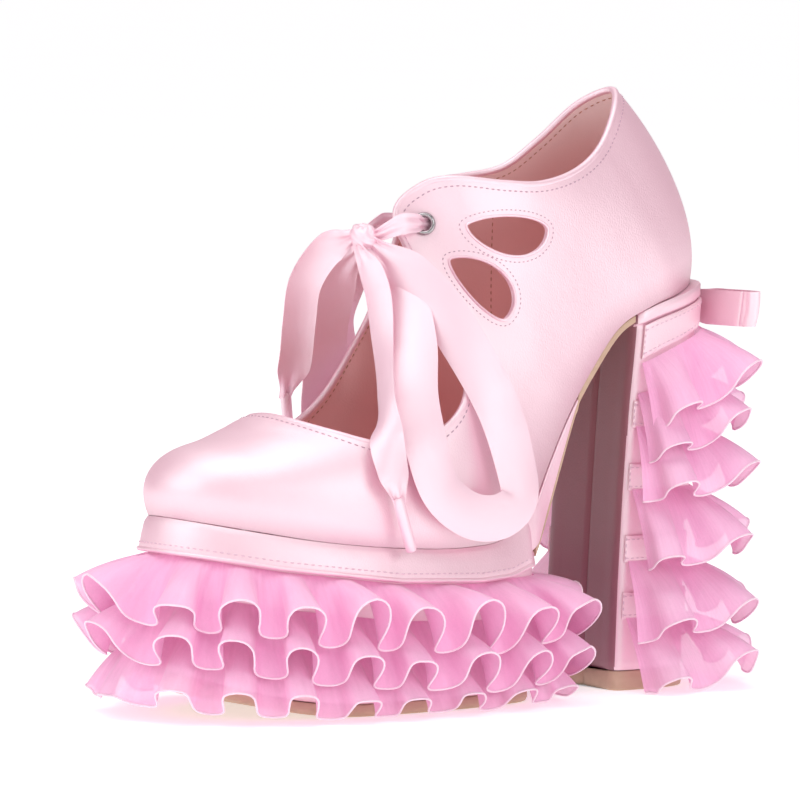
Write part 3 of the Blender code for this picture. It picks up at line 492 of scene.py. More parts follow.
def tube_rows(path, radius, sides, endless=False):
    """Rings of a round cord along a path; an open cord's ends are drawn to a point."""
    path = np.asarray(path, float)
    radius = np.broadcast_to(radius, len(path))
    if endless:
        ahead = unit(np.roll(path, -1, axis=0) - np.roll(path, 1, axis=0))
    else:
        ahead = unit(np.gradient(path, axis=0))
    start = np.cross(ahead[0], (0.0, 0.0, 1.0) if abs(ahead[0][2]) < 0.9 else (1.0, 0.0, 0.0))
    flank = [unit(start)]
    for way in ahead[1:]:
        flank.append(unit(flank[-1] - way * np.dot(flank[-1], way)))
    flank = np.array(flank)
    other = np.cross(flank, ahead)
    turn = np.zeros(len(path))
    if endless:
        last = unit(flank[-1] - ahead[0] * np.dot(flank[-1], ahead[0]))
        slip = math.atan2(np.dot(last, other[0]), np.dot(last, flank[0]))
        turn = -slip * np.arange(len(path)) / len(path)
    angles = np.linspace(0.0, 2 * np.pi, sides, endpoint=False)[None, :, None] + turn[:, None, None]
    rings = flank[:, None] * np.cos(angles) + other[:, None] * np.sin(angles)
    rows = path[:, None] + rings * radius[:, None, None]
    if not endless:
        points = [np.repeat(end[:, None], sides, axis=1) for end in (path[:1], path[-1:])]
        rows = np.concatenate([points[0], rows, points[1]])
    return rows


def tube_piece(name, path, radius, sides, endless=True):
    """A round cord of satin or thread along a path."""
    return grid_piece(name, tube_rows(path, radius, sides, endless), around=True, endless=endless)


def evenly(line, pitch, endless=False):
    """The same line with its points a set pitch apart; further columns are carried along."""
    line = np.asarray(line, float)
    if endless:
        line = np.vstack([line, line[:1]])
    along = np.concatenate([[0.0], np.cumsum(np.linalg.norm(np.diff(line[:, :3], axis=0), axis=1))])
    stops = np.linspace(0.0, along[-1], max(int(round(along[-1] / pitch)), 1) + 1)
    if endless:
        stops = stops[:-1]
    return np.column_stack([np.interp(stops, along, column) for column in line.T])


bpy.ops.object.select_all(action="DESELECT")
bpy.ops.mesh.primitive_uv_sphere_add(segments=6, ring_count=4, radius=1.0)
one_stitch = bpy.context.object
bpy.ops.object.mode_set(mode="EDIT")
bpy.ops.transform.rotate(value=math.pi / 2, orient_axis="Y", center_override=(0.0, 0.0, 0.0))
bpy.ops.transform.resize(value=(1.0, 1.0, 0.8))
bpy.ops.object.mode_set(mode="OBJECT")
STITCH_POINTS = np.array([tuple(spot.co) for spot in one_stitch.data.vertices])
STITCH_FACES = [list(face.vertices) for face in one_stitch.data.polygons]
bpy.data.objects.remove(one_stitch, do_unlink=True)


def stitch_row(name, lines, finish, slot, pitch=2.3, long=1.5, thick=0.25, endless=True):
    """Copies of the one stitch along lines of places and outward directions."""
    points, faces = [], []
    for line in lines:
        stops = evenly(line, pitch, endless)
        if endless:
            ahead = np.roll(stops[:, :3], -1, axis=0) - np.roll(stops[:, :3], 1, axis=0)
        else:
            ahead = np.gradient(stops[:, :3], axis=0)
        ahead = unit(ahead)
        across = unit(np.cross(stops[:, 3:6], ahead))
        outward = np.cross(ahead, across)
        copies = stops[:, None, :3] + STITCH_POINTS[None, :, 0:1] * ahead[:, None] * long / 2
        copies = copies + STITCH_POINTS[None, :, 1:2] * across[:, None] * thick
        copies = copies + STITCH_POINTS[None, :, 2:3] * outward[:, None] * thick
        for copy in copies:
            faces += [[corner + len(points) for corner in face] for face in STITCH_FACES]
            points += [tuple(spot * MM) for spot in copy]
    mesh = bpy.data.meshes.new(name)
    mesh.from_pydata(points, [], faces)
    piece = bpy.data.objects.new(name, mesh)
    scene.collection.objects.link(piece)
    return fix(piece, finish, slot, angle=80.0)


def thread(name, dark, light):
    """Sewing thread with its twist showing as fine light and dark."""
    made = Finish(name)
    made.shade({
        "Base Color": made.mix(made.noise(made.places, 1800.0), dark, light),
        "Roughness": 0.55,
        "Sheen Weight": 0.3,
    })
    return made


mauve_thread = thread("mauve thread", (0.42, 0.22, 0.31, 1.0), (0.66, 0.44, 0.53, 1.0))
brown_thread = thread("brown thread", (0.42, 0.17, 0.12, 1.0), (0.66, 0.33, 0.24, 1.0))

wall_out = wall_facing(wall)


def below_edge(depth, lift):
    """A line round the wall, a set depth below its top edge, with its outward directions."""
    line = []
    for k in range(wall.shape[1]):
        column = wall[::-1, k]
        along = np.concatenate([[0.0], np.cumsum(np.linalg.norm(np.diff(column, axis=0), axis=1))])
        row = WALL_STEPS - np.interp(depth, along, np.arange(WALL_STEPS + 1))
        first, part = int(row), row - int(row)
        spot = wall[first, k] * (1 - part) + wall[min(first + 1, WALL_STEPS), k] * part
        line.append([*(spot + wall_out[first, k] * lift), *(wall_out[first, k] * np.sign(lift))])
    return np.array(line)


binding_line = wall[-1] - wall_out[-1] * WALL / 2
fix(tube_piece("collar_binding", binding_line, BINDING_RADIUS, 12), satin, "satin")
collar_line = below_edge(COLLAR_STITCH_DEPTH, STITCH_LIFT)
throat_start, throat_end = THROAT_FIRST_RIB * RIB_STEPS, THROAT_LAST_RIB * RIB_STEPS
stitch_row(
    "throat_stitches", [collar_line[throat_start:throat_end]], mauve_thread, "satin", endless=False)
stitch_row(
    "collar_stitches", [np.vstack([collar_line[throat_end:], collar_line[:throat_start]])],
    mauve_thread, "satin", pitch=2.0, long=1.25, endless=False)
lining_line = below_edge(COLLAR_STITCH_DEPTH, -WALL - STITCH_LIFT)
stitch_row("lining_stitches", [lining_line], brown_thread, "lining")

columns = wall.shape[1]
wall_faces = []
for low in range(0, WALL_STEPS * columns, columns):
    for k in range(columns):
        after = (k + 1) % columns
        wall_faces.append([low + k, low + columns + k, low + columns + after, low + after])
wall_tree = BVHTree.FromPolygons([tuple(spot) for spot in wall.reshape(-1, 3)], wall_faces)


def on_wall(outline, side, lift):
    """An outline in side view laid onto the outer wall, with its outward directions."""
    line = []
    for y, z in outline:
        spot, outward, _, _ = wall_tree.ray_cast(Vector((side * 90.0, y, z)), Vector((-side, 0.0, 0.0)))
        line.append([*(spot + outward * lift), *outward])
    return np.array(line)


def outset(outline, away):
    """An outline that runs clockwise, moved outward."""
    ahead = np.roll(outline, -1, axis=0) - np.roll(outline, 1, axis=0)
    return outline + unit(np.column_stack([-ahead[:, 1], ahead[:, 0]])) * away


seam_heights = np.linspace(LINING_SEAM_FOOT, LINING_SEAM_TOP, 40)
lining_seam = on_wall([(LINING_SEAM_Y, z) for z in seam_heights], -1, -WALL - STITCH_LIFT)
lining_seam[:, 3:] *= -1
stitch_row("lining_seam_stitches", [lining_seam], brown_thread, "lining", endless=False)

leaf_lines = []
for side, word in ((1, "outer"), (-1, "inner")):
    for leaf in LEAVES:
        outline = teardrop(leaf, side, np.linspace(0.0, 2 * np.pi, LEAF_POINTS, endpoint=False))
        rim_line = on_wall(outset(outline, LEAF_RIM_AWAY), side, LEAF_RIM_SUNK)[:, :3]
        fix(tube_piece(f"{leaf.name}_leaf_rim_{word}", rim_line, LEAF_RIM_RADIUS, 8), satin, "satin")
        leaf_lines.append(on_wall(outset(outline, LEAF_STITCH_AWAY), side, STITCH_LIFT))
stitch_row("leaf_stitches", leaf_lines, mauve_thread, "satin", pitch=1.6, long=0.85, thick=0.2)

# ---- The insole --------------------------------------------------------------------------
# A padded sock of the same rose leather over the insole board, glued down inside the upper
# with its edge skived to a soft round.
INSOLE_INSET, INSOLE_LIFT, INSOLE_THICK = 2.0, 0.6, 1.8


def open_curve(rows, steps):
    """Points of a smooth open curve through rows, both ends included."""
    rows = np.asarray(rows, float)
    padded = np.vstack([2 * rows[0] - rows[1], rows, 2 * rows[-1] - rows[-2]])
    points = []
    for i in range(len(rows) - 1):
        points += [spline_point(*padded[i:i + 4], k / steps) for k in range(steps)]
    return np.array(points + [rows[-1]])


FEATHER = open_curve([(rib.fy, rib.fx, rib.fz) for rib in RIBS], 8)[::-1]


def feather_z(y):
    """Height of the upper's lower edge, which is the top of the sole."""
    return np.interp(y, FEATHER[:, 0], FEATHER[:, 2])


def ring_of(points, count):
    """Count points evenly spaced along a closed line, from its first point."""
    ring = np.vstack([points, points[:1]])
    along = np.concatenate([[0.0], np.cumsum(np.linalg.norm(np.diff(ring, axis=0), axis=1))])
    stops = np.linspace(0.0, along[-1], count, endpoint=False)
    return np.column_stack([np.interp(stops, along, column) for column in ring.T])


def middle_of(ring):
    """A ring drawn flat onto its own middle line, where point k meets point count - k."""
    return (ring + np.roll(ring[::-1], 1, axis=0)) / 2


def loft(name, rings):
    """A closed solid through rings that run clockwise from above, lowest ring first."""
    return grid_piece(name, np.array([middle_of(rings[0]), *rings, middle_of(rings[-1])]), around=True)


foot_ring = ring_of(closed_curve(
    [(rib.fx, rib.fy) for rib in RIBS] + [(-rib.fx, rib.fy) for rib in RIBS[-2:0:-1]], 12), 200)
insole_rings = []
for inset, lift in ((0.3, 0.0), (0.0, 0.5), (0.0, 1.0), (0.4, 1.6), (1.2, INSOLE_THICK)):
    moved = foot_ring - plan_normals(foot_ring) * (INSOLE_INSET + inset)
    insole_rings.append(np.column_stack([
        moved[:, 0] + swing(moved[:, 1]), moved[:, 1], feather_z(moved[:, 1]) + INSOLE_LIFT + lift]))
fix(loft("insole_sock", insole_rings), lining, "lining", "insole", angle=60.0)

# ---- The platform and its satin band -----------------------------------------------------
# A tall cork-and-wood platform covered in satin. The band above the ruffles flares out to a
# piped lower edge with a stitch row above it; below the seam the cover goes straight down.
PLATFORM_REAR_Y = 25.5
BAND_FLARE = 3.0
OUTSOLE_THICK = 4.0
TOE_SPRING, SPRING_START_Y = 10.5, -45.0
SEAM = np.array([
    (-100.0, 54.3), (-74.0, 49.3), (-35.0, 44.0), (-3.0, 42.4), (10.0, 43.2), (20.0, 46.0), (26.0, 49.5)])
PIPING_RADIUS = 0.75
BAND_STITCH_UP, BAND_STITCH_END_Y = 2.3, 21.0
pale_thread = thread("pale thread", (0.70, 0.42, 0.54, 1.0), (0.90, 0.66, 0.76, 1.0))


def seam_z(y):
    return np.interp(y, SEAM[:, 0], SEAM[:, 1])


def toe_spring(y):
    reach = np.clip((SPRING_START_Y - y) / (SPRING_START_Y - TOE_Y), 0.0, None)
    return TOE_SPRING * reach ** 2


def platform_ring(count):
    """Plan outline of the platform and its outward directions, from the rear middle."""
    rear = [(0.0, PLATFORM_REAR_Y), (20.0, PLATFORM_REAR_Y), (28.5, PLATFORM_REAR_Y - 0.6), (32.2, 20.0)]
    half = rear + [(rib.fx, rib.fy) for rib in RIBS if rib.fy < 20.0]
    ring = ring_of(closed_curve(half + [(-x, y) for x, y in half[-2:0:-1]], 24), count)
    return ring, plan_normals(ring)


def ring_at(ring, normals, offset, height):
    """A plan ring moved outward, turned to the foot's curve and lifted to its height."""
    moved = ring + normals * np.reshape(offset, (-1, 1))
    return np.column_stack([moved[:, 0] + swing(moved[:, 1]), moved[:, 1], height(ring[:, 1])])


sole_ring, sole_out = platform_ring(320)
band_flare = np.clip((PLATFORM_REAR_Y - 2.0 - sole_ring[:, 1]) / 4.0, 0.0, 1.0)
platform_base = OUTSOLE_THICK + 0.3
band_top = lambda y: feather_z(y) - 0.3 - 0.5 * np.clip((y - 2.0) / 8.0, 0.0, 1.0)
platform_rings = [ring_at(sole_ring, sole_out, *level) for level in (
    (-1.6, lambda y: toe_spring(y) + platform_base),
    (-0.5, lambda y: toe_spring(y) + platform_base + 0.6),
    (0.0, lambda y: toe_spring(y) + platform_base + 2.0),
    (0.0, lambda y: seam_z(y) - 0.9),
    (band_flare * (BAND_FLARE - 0.5), lambda y: seam_z(y) - 0.4),
    (band_flare * BAND_FLARE, lambda y: seam_z(y) + 0.5),
    (band_flare * (BAND_FLARE - 0.35), lambda y: seam_z(y) * 0.8 + band_top(y) * 0.2),
    (band_flare * (BAND_FLARE - 0.95), lambda y: seam_z(y) * 0.5 + band_top(y) * 0.5),
    (band_flare * 1.2, lambda y: seam_z(y) * 0.15 + band_top(y) * 0.85),
    (band_flare * 0.8, lambda y: band_top(y) - 0.8),
    (0.15, lambda y: feather_z(y) - 0.14),
    (-0.8, lambda y: feather_z(y) - 0.06))]
fix(loft("platform_cover", platform_rings), satin, "satin", "platform", angle=50.0)

piping = ring_at(sole_ring, sole_out, band_flare * (BAND_FLARE - 0.1), lambda y: seam_z(y) + 0.1)
fix(tube_piece("band_piping", piping, PIPING_RADIUS, 10), satin, "satin")
band_places = ring_at(
    sole_ring, sole_out, band_flare * (BAND_FLARE - 0.42) + 0.08, lambda y: seam_z(y) + BAND_STITCH_UP)
band_line = np.column_stack([band_places, sole_out, np.full(len(sole_ring), 0.1)])
seen = np.where(sole_ring[:, 1] < BAND_STITCH_END_Y)[0]
stitch_row("band_stitches", [band_line[seen[0]:seen[-1] + 1]], pale_thread, "satin", endless=False)

# ---- The arch: satin wing and tan sole ---------------------------------------------------
# The band's satin runs on up the arch as a narrowing wing. Behind it the shank is covered by a
# thin tan leather sole, cemented on with a bevelled edge.
ARCH_END_Y, ARCH_SOLE_THICK = 71.8, 2.4
WING_ROOT_Y = 15.0
WING = np.array([(25.8, 15.6), (33.0, 12.6), (40.0, 7.0), (46.0, 1.3)])


def feather_half(y):
    return np.interp(y, FEATHER[:, 0], FEATHER[:, 1])


def wing_drop(y):
    return np.interp(y, WING[:, 0], WING[:, 1])


def along_sole(name, stops, half, top, bottom):
    """A bar that follows the arch: a section with rounded corners at each stop along Y."""
    rows = []
    for y in stops:
        tall = (top(y) - bottom(y)) / 2
        soft = min(0.7, 0.8 * tall)
        ring = []
        for turn in np.radians(np.arange(0.0, 360.0, 11.25) + 5.625):
            x, z = math.cos(turn), math.sin(turn)
            ring.append((
                math.copysign(half(y) - soft, x) + soft * x, y,
                (top(y) + bottom(y)) / 2 + math.copysign(tall - soft, z) + soft * z))
        rows.append(ring)
    rows = np.array(rows)
    ends = rows[[0, -1]].copy()
    ends[:, :, 2] = ends[:, :, 2].mean(axis=1, keepdims=True)
    return grid_piece(name, np.concatenate([ends[:1], rows, ends[1:]]), around=True)


def arch_top(y):
    return feather_z(y) - 0.3 - (wing_drop(y) + 0.3 if y < WING[-1][0] + 1.0 else 0.0)


def arch_bottom(y):
    steep = (feather_z(y + 1.0) - feather_z(y - 1.0)) / 2.0
    return arch_top(y) - ARCH_SOLE_THICK * math.hypot(1.0, steep)


tan = Finish("tan sole leather")
tan_grain = tan.noise(tan.stretched(tan.places, (1.0, 0.35, 1.0)), 420.0, 4.0)
tan.shade({
    "Base Color": tan.mix(tan_grain, (0.52, 0.345, 0.235, 1.0), (0.68, 0.49, 0.36, 1.0)),
    "Roughness": 0.42 + 0.25 * tan_grain,
    "Normal": tan.bump(tan_grain, 0.0003, 0.3),
})


def wing_bottom(y):
    """The wing's lower edge: it starts inside the band, just above the seam."""
    behind = feather_z(y) - 0.3 - wing_drop(y)
    root = seam_z(WING_ROOT_Y) + 0.8
    join = feather_z(WING[0][0]) - 0.3 - WING[0][1]
    return np.where(y < WING[0][0], np.interp(y, (WING_ROOT_Y, WING[0][0]), (root, join)), behind)


fix(along_sole(
    "arch_wing_cover", np.linspace(WING_ROOT_Y, WING[-1][0], 60),
    lambda y: feather_half(y) + np.interp(y, (WING_ROOT_Y, 24.0, 32.0), (0.6, 1.3, 0.5)),
    lambda y: feather_z(y) - 0.6, wing_bottom), satin, "satin", "arch_wing")
fix(along_sole(
    "arch_sole_leather", np.linspace(PLATFORM_REAR_Y + 0.3, ARCH_END_Y, 60),
    lambda y: feather_half(y) - 0.6, arch_top, arch_bottom), tan, "tan_sole", "arch_sole")

# ---- The outsole -------------------------------------------------------------------------
# A tan leather-board outsole cemented under the platform, cut a little inside its outline. Its
# lower edge is rounded and its face is plain.
outsole_rings = [ring_at(sole_ring, sole_out, *level) for level in (
    (-3.2, toe_spring), (-2.2, lambda y: toe_spring(y) + 0.4), (-1.6, lambda y: toe_spring(y) + 1.6),
    (-1.6, lambda y: toe_spring(y) + OUTSOLE_THICK - 0.3), (-1.9, lambda y: toe_spring(y) + OUTSOLE_THICK))]
fix(loft("outsole_leather", outsole_rings), tan, "tan_sole", "outsole", angle=55.0)

# ---- The heel and its lift ---------------------------------------------------------------
# A tall block heel covered in one piece of satin that meets in a seam down the middle of the
# breast. The tan lift under it is nailed and glued on.
HEEL_LIFT_THICK = 6.5
HEEL_BASE = HEEL_LIFT_THICK + 0.3
# Levels of the heel: the share of its height, its front, its back and its half width.
HEEL = np.array([
    (0.0, 64.5, 98.5, 21.8), (0.25, 66.0, 99.2, 21.5), (0.5, 68.0, 100.3, 21.4),
    (0.75, 70.3, 102.0, 21.7), (0.9, 72.2, 103.6, 22.3), (0.962, 72.8, 104.3, 22.6),
    (0.97, 72.5, 105.2, 23.5), (1.0, 72.5, 105.4, 23.6)])
# Half of its plan from the middle of the breast to the middle of the back, in shares of its size.
HEEL_OUTLINE = [
    (0.0, 0.05), (0.5, 0.025), (0.82, 0.0), (0.96, 0.05), (1.0, 0.18),
    (1.0, 0.5), (0.93, 0.75), (0.75, 0.92), (0.42, 0.985), (0.0, 1.0)]
BREAST_SEAM_DEEP, BREAST_SEAM_HALF = 0.9, 1.3


def heel_ring(steps):
    return closed_curve(HEEL_OUTLINE + [(-x, y) for x, y in HEEL_OUTLINE[-2:0:-1]], steps)


def heel_sizes(share):
    """Front, back and half width of the heel, a share of the way up."""
    return [np.interp(share, HEEL[:, 0], HEEL[:, k]) for k in (1, 2, 3)]


def heel_level(share, inset=0.0):
    """A level of the heel, clockwise from above, from the middle of the breast."""
    front, back, half = heel_sizes(share)
    ring = np.roll(heel_ring(12)[::-1], 1, axis=0)
    plan = np.column_stack([ring[:, 0] * half, front + (back - front) * ring[:, 1]])
    plan -= plan_normals(plan) * inset
    breast = np.clip(1.0 - np.abs(plan[:, 0]) / BREAST_SEAM_HALF, 0.0, 1.0) * (ring[:, 1] < 0.3)
    plan[:, 1] += BREAST_SEAM_DEEP * breast ** 0.7
    return np.column_stack([plan, HEEL_BASE + share * (feather_z(plan[:, 1]) - 0.3 - HEEL_BASE)])


heel_shares = [0.0, 0.01] + list(np.linspace(0.03, 0.95, 30)) + [0.962, 0.966, 0.97, 0.985, 0.995, 1.0]
heel_rings = [heel_level(share, {0.0: 0.5, 1.0: 0.4}.get(share, 0.0)) for share in heel_shares]
# The breast's satin is painted dark: painted shade under the arch.
breast_shade_satin = satin_cloth("breast satin with painted shade", (0.28, 0.10, 0.135, 1.0), (0.37, 0.15, 0.19, 1.0), 0.15)
heel_cover = loft("heel_cover", heel_rings)
heel_cover.data.materials.append(satin.material)
heel_cover.data.materials.append(breast_shade_satin.material)
# Faces turned to the front take the dark satin, which paints shade on the breast.
for face in heel_cover.data.polygons:
    face.material_index = int(face.normal.y < -0.8)
fix(heel_cover, satin, "satin", "heel", angle=50.0)
lift_rings = []
for height, inset in (
        (0.0, 0.6), (0.4, 0.15), (1.0, 0.0), (HEEL_LIFT_THICK - 0.5, 0.0), (HEEL_LIFT_THICK, 0.4)):
    ring = heel_level(0.0, inset)
    ring[:, 2] = height
    lift_rings.append(ring)
fix(loft("heel_lift_leather", lift_rings), tan, "tan_sole", "heel_lift", angle=50.0)

# ---- The heel's strap and tapes ----------------------------------------------------------
# A folded satin strap round the top of the heel, and four narrow satin tapes below it that
# carry the ruffles. Each is turned in at its ends and stitched near all its edges.
STRAP_TOP, STRAP_FRONT_HEIGHT, STRAP_BACK_HEIGHT, STRAP_THICK = 5.2, 11.0, 8.5, 1.2
STRAP_FRONT_Y, STRAP_LONG = 74.0, 30.0
TAPE_HEIGHT, TAPE_THICK = 9.0, 0.8
STRIP_CLEAR, STRIP_STITCH_LIFT = 0.3, 0.35
TAPES = [("heel_tape_1", 92.5), ("heel_tape_2", 71.5), ("heel_tape_3", 47.5), ("heel_tape_4", 28.5)]
WRAP_STEPS = 16
wrap_ring = heel_ring(WRAP_STEPS)


def heel_wrap(spots, height, offset):
    """Places round the heel's sides and back at given heights, with their outward directions.

    Spots run from 0 at the outer front corner, past the back, to 1 at the inner one.
    """
    first, last = 3.0 * WRAP_STEPS, (len(HEEL_OUTLINE) * 2 - 5.0) * WRAP_STEPS
    points = []
    for spot in spots:
        place = first + (last - first) * spot
        k, part = int(place) % len(wrap_ring), place - int(place)
        at = lambda number: wrap_ring[number % len(wrap_ring)]
        blend = lambda shift: at(k + shift) * (1 - part) + at(k + shift + 1) * part
        here, step = blend(0), blend(4) - blend(-4)
        share = 0.5
        for _ in range(4):
            front, back, half = heel_sizes(share)
            y = front + (back - front) * here[1]
            share = (height(y) - HEEL_BASE) / (feather_z(y) - 0.3 - HEEL_BASE)
        along = np.array([step[0] * half, step[1] * (back - front)])
        outward = np.array([along[1], -along[0]]) / np.linalg.norm(along)
        x = here[0] * half + outward[0] * offset
        points.append((x, y + outward[1] * offset, height(y), *outward, 0.0))
    return np.array(points)


def heel_band(name, node, spots, edge, thick):
    """A flat strip round the heel: edge(share) gives its height line from its top to its foot."""
    rows = [heel_wrap(spots, edge(share), STRIP_CLEAR)[:, :3] for share in np.linspace(0.0, 1.0, 7)]
    piece = grid_piece(name, rows)
    worked(piece, "SOLIDIFY", thickness=thick * MM, offset=1.0)
    worked(piece, "BEVEL", width=0.3 * MM, segments=2, limit_method="ANGLE", angle_limit=math.radians(50))
    fix(piece, satin, "satin", node)
    lift = STRIP_STITCH_LIFT + thick
    lines = [heel_wrap(spots[2:-2], edge(share), lift) for share in (0.15, 0.85)]
    for k in (1, -2):
        lines.append(np.array([
            heel_wrap(spots[[k]], edge(share), lift)[0] for share in np.linspace(0.15, 0.85, 6)]))
    stitch_row(f"{name}_stitches", lines, pale_thread, "satin", pitch=2.0, long=1.25, endless=False)


def strap_edge(share):
    def height(y):
        reach = np.clip((y - STRAP_FRONT_Y) / STRAP_LONG, 0.0, 1.0)
        tall = STRAP_FRONT_HEIGHT + (STRAP_BACK_HEIGHT - STRAP_FRONT_HEIGHT) * reach
        return feather_z(y) - STRAP_TOP - tall * share
    return height


heel_band("heel_strap_satin", "heel_strap", np.linspace(0.03, 0.97, 91), strap_edge, STRAP_THICK)
for name, middle in TAPES:
    heel_band(
        f"{name}_satin", name, np.linspace(0.005, 0.995, 91),
        lambda share: lambda y: middle + TAPE_HEIGHT * (0.5 - share), TAPE_THICK)

# ---- The platform's ruffles --------------------------------------------------------------
# Three gathered strips of pink organza, sewn one below another to the platform's cover. Each
# has a narrow rolled hem, stands out where its wave crests and hangs in the troughs.
LEVEL_SEAM_Y = 10.0
HEM_LIFT, HEM_SPRING = 1.5, 0.4
CLOTH_CLEAR, FLOOR_CLEAR = 0.8, 0.6
# Crests of the waves: shares of the outline, from the rear middle by the outer side.
CRESTS = (
    0.0, 0.05, 0.1, 0.1486, 0.2097, 0.2722, 0.3208, 0.3722, 0.4153, 0.4528,
    0.5042, 0.553, 0.604, 0.656, 0.708, 0.76, 0.812, 0.864, 0.912, 0.955)
WAVE_COLUMNS = 30
FALL_STEPS = 16
HEM_RADIUS = 0.36
# How far a strip's seam lies below the band's, its cloth length (or None, to reach the floor),
# its lean in the middle of a wave, the swing added at a crest, how far the hem slips and tilts
# along to round the waves, how boxy they are, and by how many degrees each crest droops.
Tier = namedtuple("Tier", "name drop length lean swing slip tilt boxy droop")
PLATFORM_TIERS = [
    Tier("platform_ruffle_1", 1.2, 25.0, 54.5, 23.5, 2.2, 0.9, 0.2, [0] * 7 + [5, 10, 22, 6, 8] + [0] * 9),
    Tier("platform_ruffle_2", 13.2, 25.0, 48.5, 19.0, 2.2, 0.0, 0.4, [0]),
    Tier("platform_ruffle_3", 25.2, None, 45.0, 12.0, 1.6, 0.0, 1.1, [0] * 9 + [4, 16, 14, 6] + [0] * 8),
]


def ruffle_rows(seats, outward, ahead, turn, tier, length, seed, hang=1.0):
    """A gathered strip from its seam down to its hem, with waves that are never quite alike.

    Hang below 1 lets it fall straighter.
    """
    chance = np.random.default_rng(seed)
    waves = int(np.ceil(turn[-1] / (2 * np.pi))) + 2
    number = turn / (2 * np.pi)
    halves = np.arange(waves * 2) / 2
    uneven = [np.interp(number, halves, chance.uniform(-1.0, 1.0, waves * 2)) for _ in range(3)]
    wave = np.tanh(tier.boxy * np.cos(turn)) / np.tanh(tier.boxy)
    droop = np.interp(number, np.arange(len(tier.droop)), tier.droop) * (0.5 + 0.5 * wave)
    lean = np.radians(tier.lean + tier.swing * (wave + 0.22 * uneven[0]) - droop) * hang
    slide = tier.slip * np.sin(2 * turn) + tier.tilt * np.sin(turn) + 1.1 * uneven[1]
    rows = []
    for share in np.linspace(0.0, 1.0, FALL_STEPS + 1):
        spring = 0.22 * share * (1.0 - share)
        out = length * (share * np.sin(lean) + spring)
        fall = length * (share * np.cos(lean) - 0.5 * spring)
        pleat = 0.45 * np.sin(5 * turn + 2.0 * uneven[2]) * math.exp(-5.0 * share) * min(1.0, 12 * share)
        out = out + pleat + 0.35 * np.sin(3 * turn + 3.0 * uneven[0]) * share ** 2
        row = seats + outward * out[:, None] + ahead * (slide * share ** 1.3)[:, None]
        row[:, 2] -= fall
        rows.append(row)
    return np.array(rows), 0.5 + 0.5 * wave


def cloth_size(rows):
    """Size of the strip before it was sewn on: its depth, and its length along its middle."""
    deep = np.linalg.norm(np.diff(rows, axis=0), axis=2).sum(axis=0).mean()
    long = np.linalg.norm(np.diff(rows, axis=1), axis=2).sum(axis=1).mean()
    return deep * MM, long * MM


organza = Finish("pink organza")
organza_streak = organza.noise(organza.stretched(organza.weave, (260.0, 1.6, 1.0)), 1.0, 3.0)
organza_grain = organza.noise(organza.places, 1500.0, 1.0)
organza_fall = organza.node("ShaderNodeSeparateXYZ", {}, {"Vector": organza.weave}, "Y")
organza_crest_highlight = organza.node("ShaderNodeAttribute", {"attribute_name": "crest"}, {}, "Fac")
# The colour is painted paler on the wave crests: a painted highlight.
organza.shade({
    "Base Color": organza.mix(
        (0.40 * organza_streak + 0.25 * organza_fall + 0.28 * organza_crest_highlight).clipped(),
        (0.97, 0.39, 0.69, 1.0), (1.0, 0.62, 0.83, 1.0)),
    "Roughness": 0.42 + 0.2 * organza_grain,
    "Alpha": (0.73 + 0.15 * organza_streak + 0.07 * organza_grain).clipped(),
    "Sheen Weight": 0.35,
    "Sheen Roughness": 0.3,
    "Normal": organza.bump(organza_streak + 0.3 * organza_grain, 0.0004, 0.35),
})
hem_thread = thread("hem thread", (0.92, 0.60, 0.76, 1.0), (0.99, 0.80, 0.89, 1.0))


def hang_ruffle(tier, rows, crest, endless):
    """Make a strip and its rolled hem, and work out the size of its cloth, which is not kept."""
    strip = grid_piece(f"{tier.name}_organza", rows[::-1], around=endless, crest=crest)
    fix(strip, organza, "organza", tier.name, angle=180.0)
    hem = tube_piece(f"{tier.name}_hem", rows[-1], HEM_RADIUS, 6, endless)
    fix(hem, hem_thread, "organza", angle=180.0)
    cloth_size(rows)


wave_turns = np.arange(len(CRESTS) * WAVE_COLUMNS) / WAVE_COLUMNS
wave_shares = np.interp(wave_turns, np.arange(len(CRESTS) + 1), CRESTS + (1.0,))
skirt_ring, skirt_out = platform_ring(1920)
for number, tier in enumerate(PLATFORM_TIERS):
    seats = ring_at(
        skirt_ring, skirt_out, CLOTH_CLEAR, lambda y: seam_z(np.minimum(y, LEVEL_SEAM_Y)) - tier.drop)
    places = np.column_stack([seats, skirt_out])
    places = np.vstack([places, places[:1]])
    stops = wave_shares * len(skirt_ring)
    places = np.column_stack([np.interp(stops, np.arange(len(places)), column) for column in places.T])
    outward = np.column_stack([unit(places[:, 3:5]), np.zeros(len(places))])
    ahead = np.column_stack([outward[:, 1], -outward[:, 0], np.zeros(len(places))])
    length = tier.length
    if length is None:
        hem_height = HEM_LIFT + HEM_SPRING * toe_spring(places[:, 1])
        length = (places[:, 2] - hem_height) / math.cos(math.radians(tier.lean - tier.swing))
    turn = 2 * np.pi * wave_turns
    rows, crest = ruffle_rows(places[:, :3], outward, ahead, turn, tier, length, 11 + number)
    rows[:, :, 2] = np.maximum(rows[:, :, 2], FLOOR_CLEAR)
    hang_ruffle(tier, rows, crest, True)

